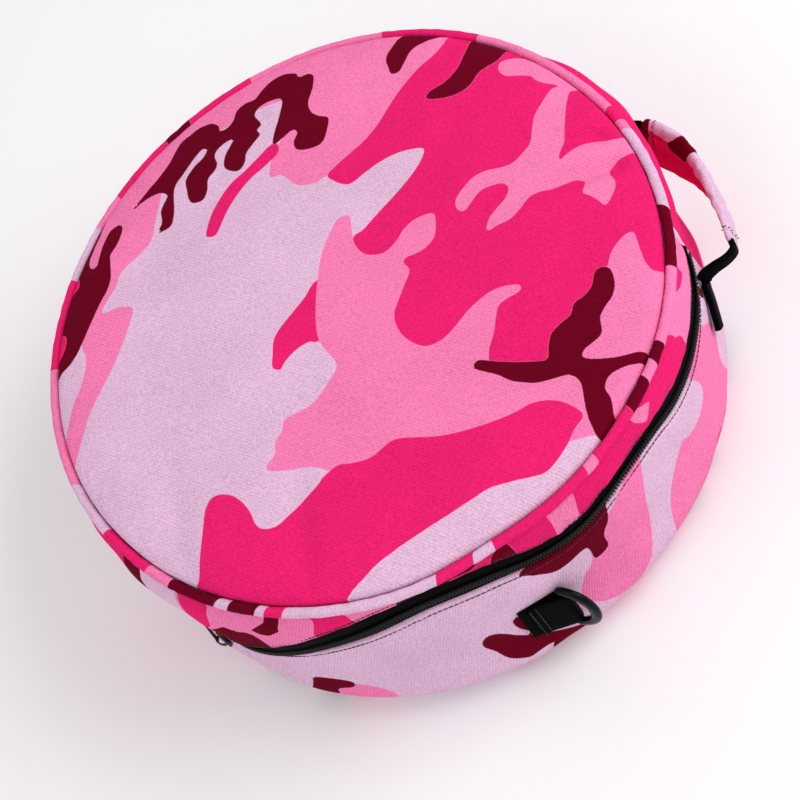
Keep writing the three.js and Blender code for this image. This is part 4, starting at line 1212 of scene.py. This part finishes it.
def wovenStrap(name, points, across, wide, thick, node, folded=False, grow=4):
    # webbing with a rounded selvage, smoothed along its route
    stops = range(len(points))
    fine = np.linspace(0, len(points) - 1, (len(points) - 1) * grow + 1)
    smooth = lambda table: np.stack([follow(dict(i=stops, v=table[:, k]), "i", "v", fine) for k in range(3)], -1)
    points, across = smooth(points), smooth(across)
    across, face = strapFrames(points, across)
    t = np.array(selvage["across"])
    edge = 0.5 * thick * (1 - np.abs(t) ** 9 * selvage["thin"])
    sections, flat = [], []
    for p, a, f, u in zip(points, across, face, lengths(points)):
        top = p + (t * wide / 2)[:, None] * a + edge[:, None] * f
        low = p + (t * wide / 2)[:, None] * a - edge[:, None] * f
        if folded:
            slit = np.clip(1 - np.abs(np.abs(t) - 1) * selvage["slitFade"], 0, 1) * selvage["slit"]
            top = top - (t * slit)[:, None] * a
        sections.append(np.concatenate([low, top[::-1]]))
        flat += [(u, x * wide / 2) for x in t] + [(u, x * wide / 2 + wide) for x in t[::-1]]
    piece = loft(name, sections)
    layCloth(piece, np.array(flat))
    return finishPiece(piece, webbing, "webbing", node)


def makeStraps():
    far = np.array([handle["end"] + 0.005, 0.67, 0.72, 0.77, 0.82, 0.86, 0.9, 0.935, 0.97, 1.01, 1.05, 1.1, 1.15,
                    1.22, 1.3, 1 + handle["lay"] / handle["half"]])
    points = handlePoint(far, handle["height"], handle["thick"])
    wovenStrap("strapFar", points, leaning(points, far), handle["wide"], handle["thick"], "strap_far", grow=2)
    points, across = [], []
    for s in rows(nearStrap):
        thick = handle["foldedThick"] * (1 + 2 * s["lift"])
        points.append(handlePoint(s["along"], handle["height"] * (1 + s["rise"]), thick))
        a, turn = math.radians(handle["at"] + handle["half"] * s["along"]), math.radians(s["turn"])
        across.append([-math.sin(a) * math.sin(turn), math.cos(a) * math.sin(turn), math.cos(turn)])
    wovenStrap("strapNear", np.array(points), np.array(across), handle["foldedWide"], handle["foldedThick"],
               "strap_near", folded=True, grow=8)


makeStraps()
print("handle done")


# D-rings on folded webbing tabs
fitting = dict(at=268.4, height=45, length=23, wide=25, thick=1.7, wire=4.2, inside=27, reach=17, tilt=50,
               band=0.9, bandFrom=8, tacks=(14, 17.2), tackEvery=2.7, tackInset=2, smoothing=3)


def makeFitting(name, at, side, tabNode, ringNode):
    wire = fitting["wire"] / 2
    bow = wire + bag["gap"] + fitting["thick"] / 2
    low = bag["gap"] + fitting["thick"] / 2
    bar = low + bow
    folded = low + fitting["thick"] + bag["gap"]
    turnFor = math.degrees(1 / (bag["seamRadius"] + bag["belly"]))
    half = fitting["wide"] / 2
    wallAt = lambda where, rise: wallRadius(where, fitting["height"] + rise)
    lean = (wallAt(at, half) - wallAt(at, -half)) / fitting["wide"]
    outward, up = unit(place(at, 1, -lean)), unit(place(at, lean, 1))

    def stop(length, out):
        where = at + side * turnFor * length
        rest = max(wallAt(where, rise) - lean * rise for rise in (-half, 0, half))
        return place(where, rest, fitting["height"]) + out * outward

    route = [stop(-fitting["length"] * (1 - t), low) for t in np.linspace(0, 1, 9)]
    route += [stop(bow * math.cos(a), bar + bow * math.sin(a)) for a in np.radians(np.arange(-75, 91, 15))]
    for t in np.linspace(0.1, 0.8, 8):
        route.append(stop(-fitting["length"] * t, bar + bow + (folded - bar - bow) * min(1, t * 1.7)))
    route = np.array(route)
    wovenStrap(name + "Tab", route, up + route * 0, fitting["wide"], fitting["thick"], tabNode, grow=2)

    for i, length in enumerate(fitting["tacks"]):
        spot = stop(-length, folded + fitting["thick"] / 2 + 0.1)
        tackHalf = half - fitting["tackInset"]
        line = [spot + up * rise for rise in np.linspace(-tackHalf, tackHalf, 12)]
        tack = repeatItem(name + "Tack%d" % i, line, outward + np.zeros((12, 3)), stitchItem,
                          fitting["tackEvery"], blackThread, stitch["uneven"], i)
        finishPiece(tack, blackThread, "webbing")

    middle = stop(0, bar)
    around = np.array([-math.sin(math.radians(at)), math.cos(math.radians(at)), 0]) * side
    tilt = math.radians(fitting["tilt"])
    reachWay = around * math.cos(tilt) + outward * math.sin(tilt)
    facing = np.cross(reachWay, up)
    halfBar = fitting["inside"] / 2 + wire
    centre = [(0, z) for z in np.linspace(-halfBar, halfBar, 26)[1:-1]]
    for a in np.radians(np.linspace(90, -90, 60)):
        centre.append(((fitting["reach"] - wire) * math.cos(a) ** 0.8, halfBar * math.sin(a)))
    centre = np.array(centre)
    for _ in range(fitting["smoothing"]):
        centre = 0.25 * np.roll(centre, 1, 0) + 0.5 * centre + 0.25 * np.roll(centre, -1, 0)
    run = unit(np.roll(centre, -1, 0) - np.roll(centre, 1, 0))
    turn = np.arange(24) * 2 * math.pi / 24
    sections = []
    for (x, z), (rx, rz) in zip(centre, run):
        squash = np.abs(np.cos(turn)) ** 0.85 * np.sign(np.cos(turn))
        broad = fitting["band"] * min(1, max(0, x / fitting["bandFrom"]))
        inward = (wire + broad) * squash + broad
        p = middle + x * reachWay + z * up
        sections.append(p + inward[:, None] * (rz * reachWay - rx * up) + wire * np.sin(turn)[:, None] * facing)
    ring = loft(name + "Ring", sections, loop=True)
    return finishPiece(ring, ringPlastic, "ring_plastic", ringNode)


makeFitting("front", fitting["at"], 1, "ring_tab_front", "ring_front")
makeFitting("back", 2 * handle["at"] + 720 - fitting["at"], -1, "ring_tab_back", "ring_back")
for item in (stitchItem, toothItem):
    bpy.data.objects.remove(item)
print("rings done")


# Floor and light
studio = dict(floor=linear("#F4F3F4"), size=7, world=0.7, keyPower=20, keySize=1.3, keyAt=(1.35, -0.5, 1.3),
              fillPower=8, fillSize=1.8, fillAt=(-1.4, -0.8, 1.2))


def makeLight(name, power, size, at):
    data = bpy.data.lights.new(name, "AREA")
    data.energy, data.size = power, size
    at = Vector(at)
    link(name, data).matrix_world = Matrix.Translation(at) @ at.to_track_quat("Z", "Y").to_matrix().to_4x4()


def makeStudio():
    half = studio["size"] / 2
    mesh = bpy.data.meshes.new("floor")
    corners = [(-half, -half, 0), (half, -half, 0), (half, half, 0), (-half, half, 0)]
    mesh.from_pydata(corners, [], [(0, 1, 2, 3)])
    floor = link("floor", mesh)
    finish, tree = newMaterial("floorPaint")
    surface(tree, {"Base Color": (*studio["floor"], 1), "Roughness": 0.9, "Specular IOR Level": 0.2})
    mesh.materials.append(finish)
    world = bpy.data.worlds.new("studio")
    world.use_nodes = True
    sky = world.node_tree.nodes["Background"].inputs
    sky["Color"].default_value, sky["Strength"].default_value = (1, 1, 1, 1), studio["world"]
    bpy.context.scene.world = world
    makeLight("key", studio["keyPower"], studio["keySize"], studio["keyAt"])
    makeLight("fill", studio["fillPower"], studio["fillSize"], studio["fillAt"])
    bpy.context.scene.view_settings.view_transform = "Standard"


makeStudio()
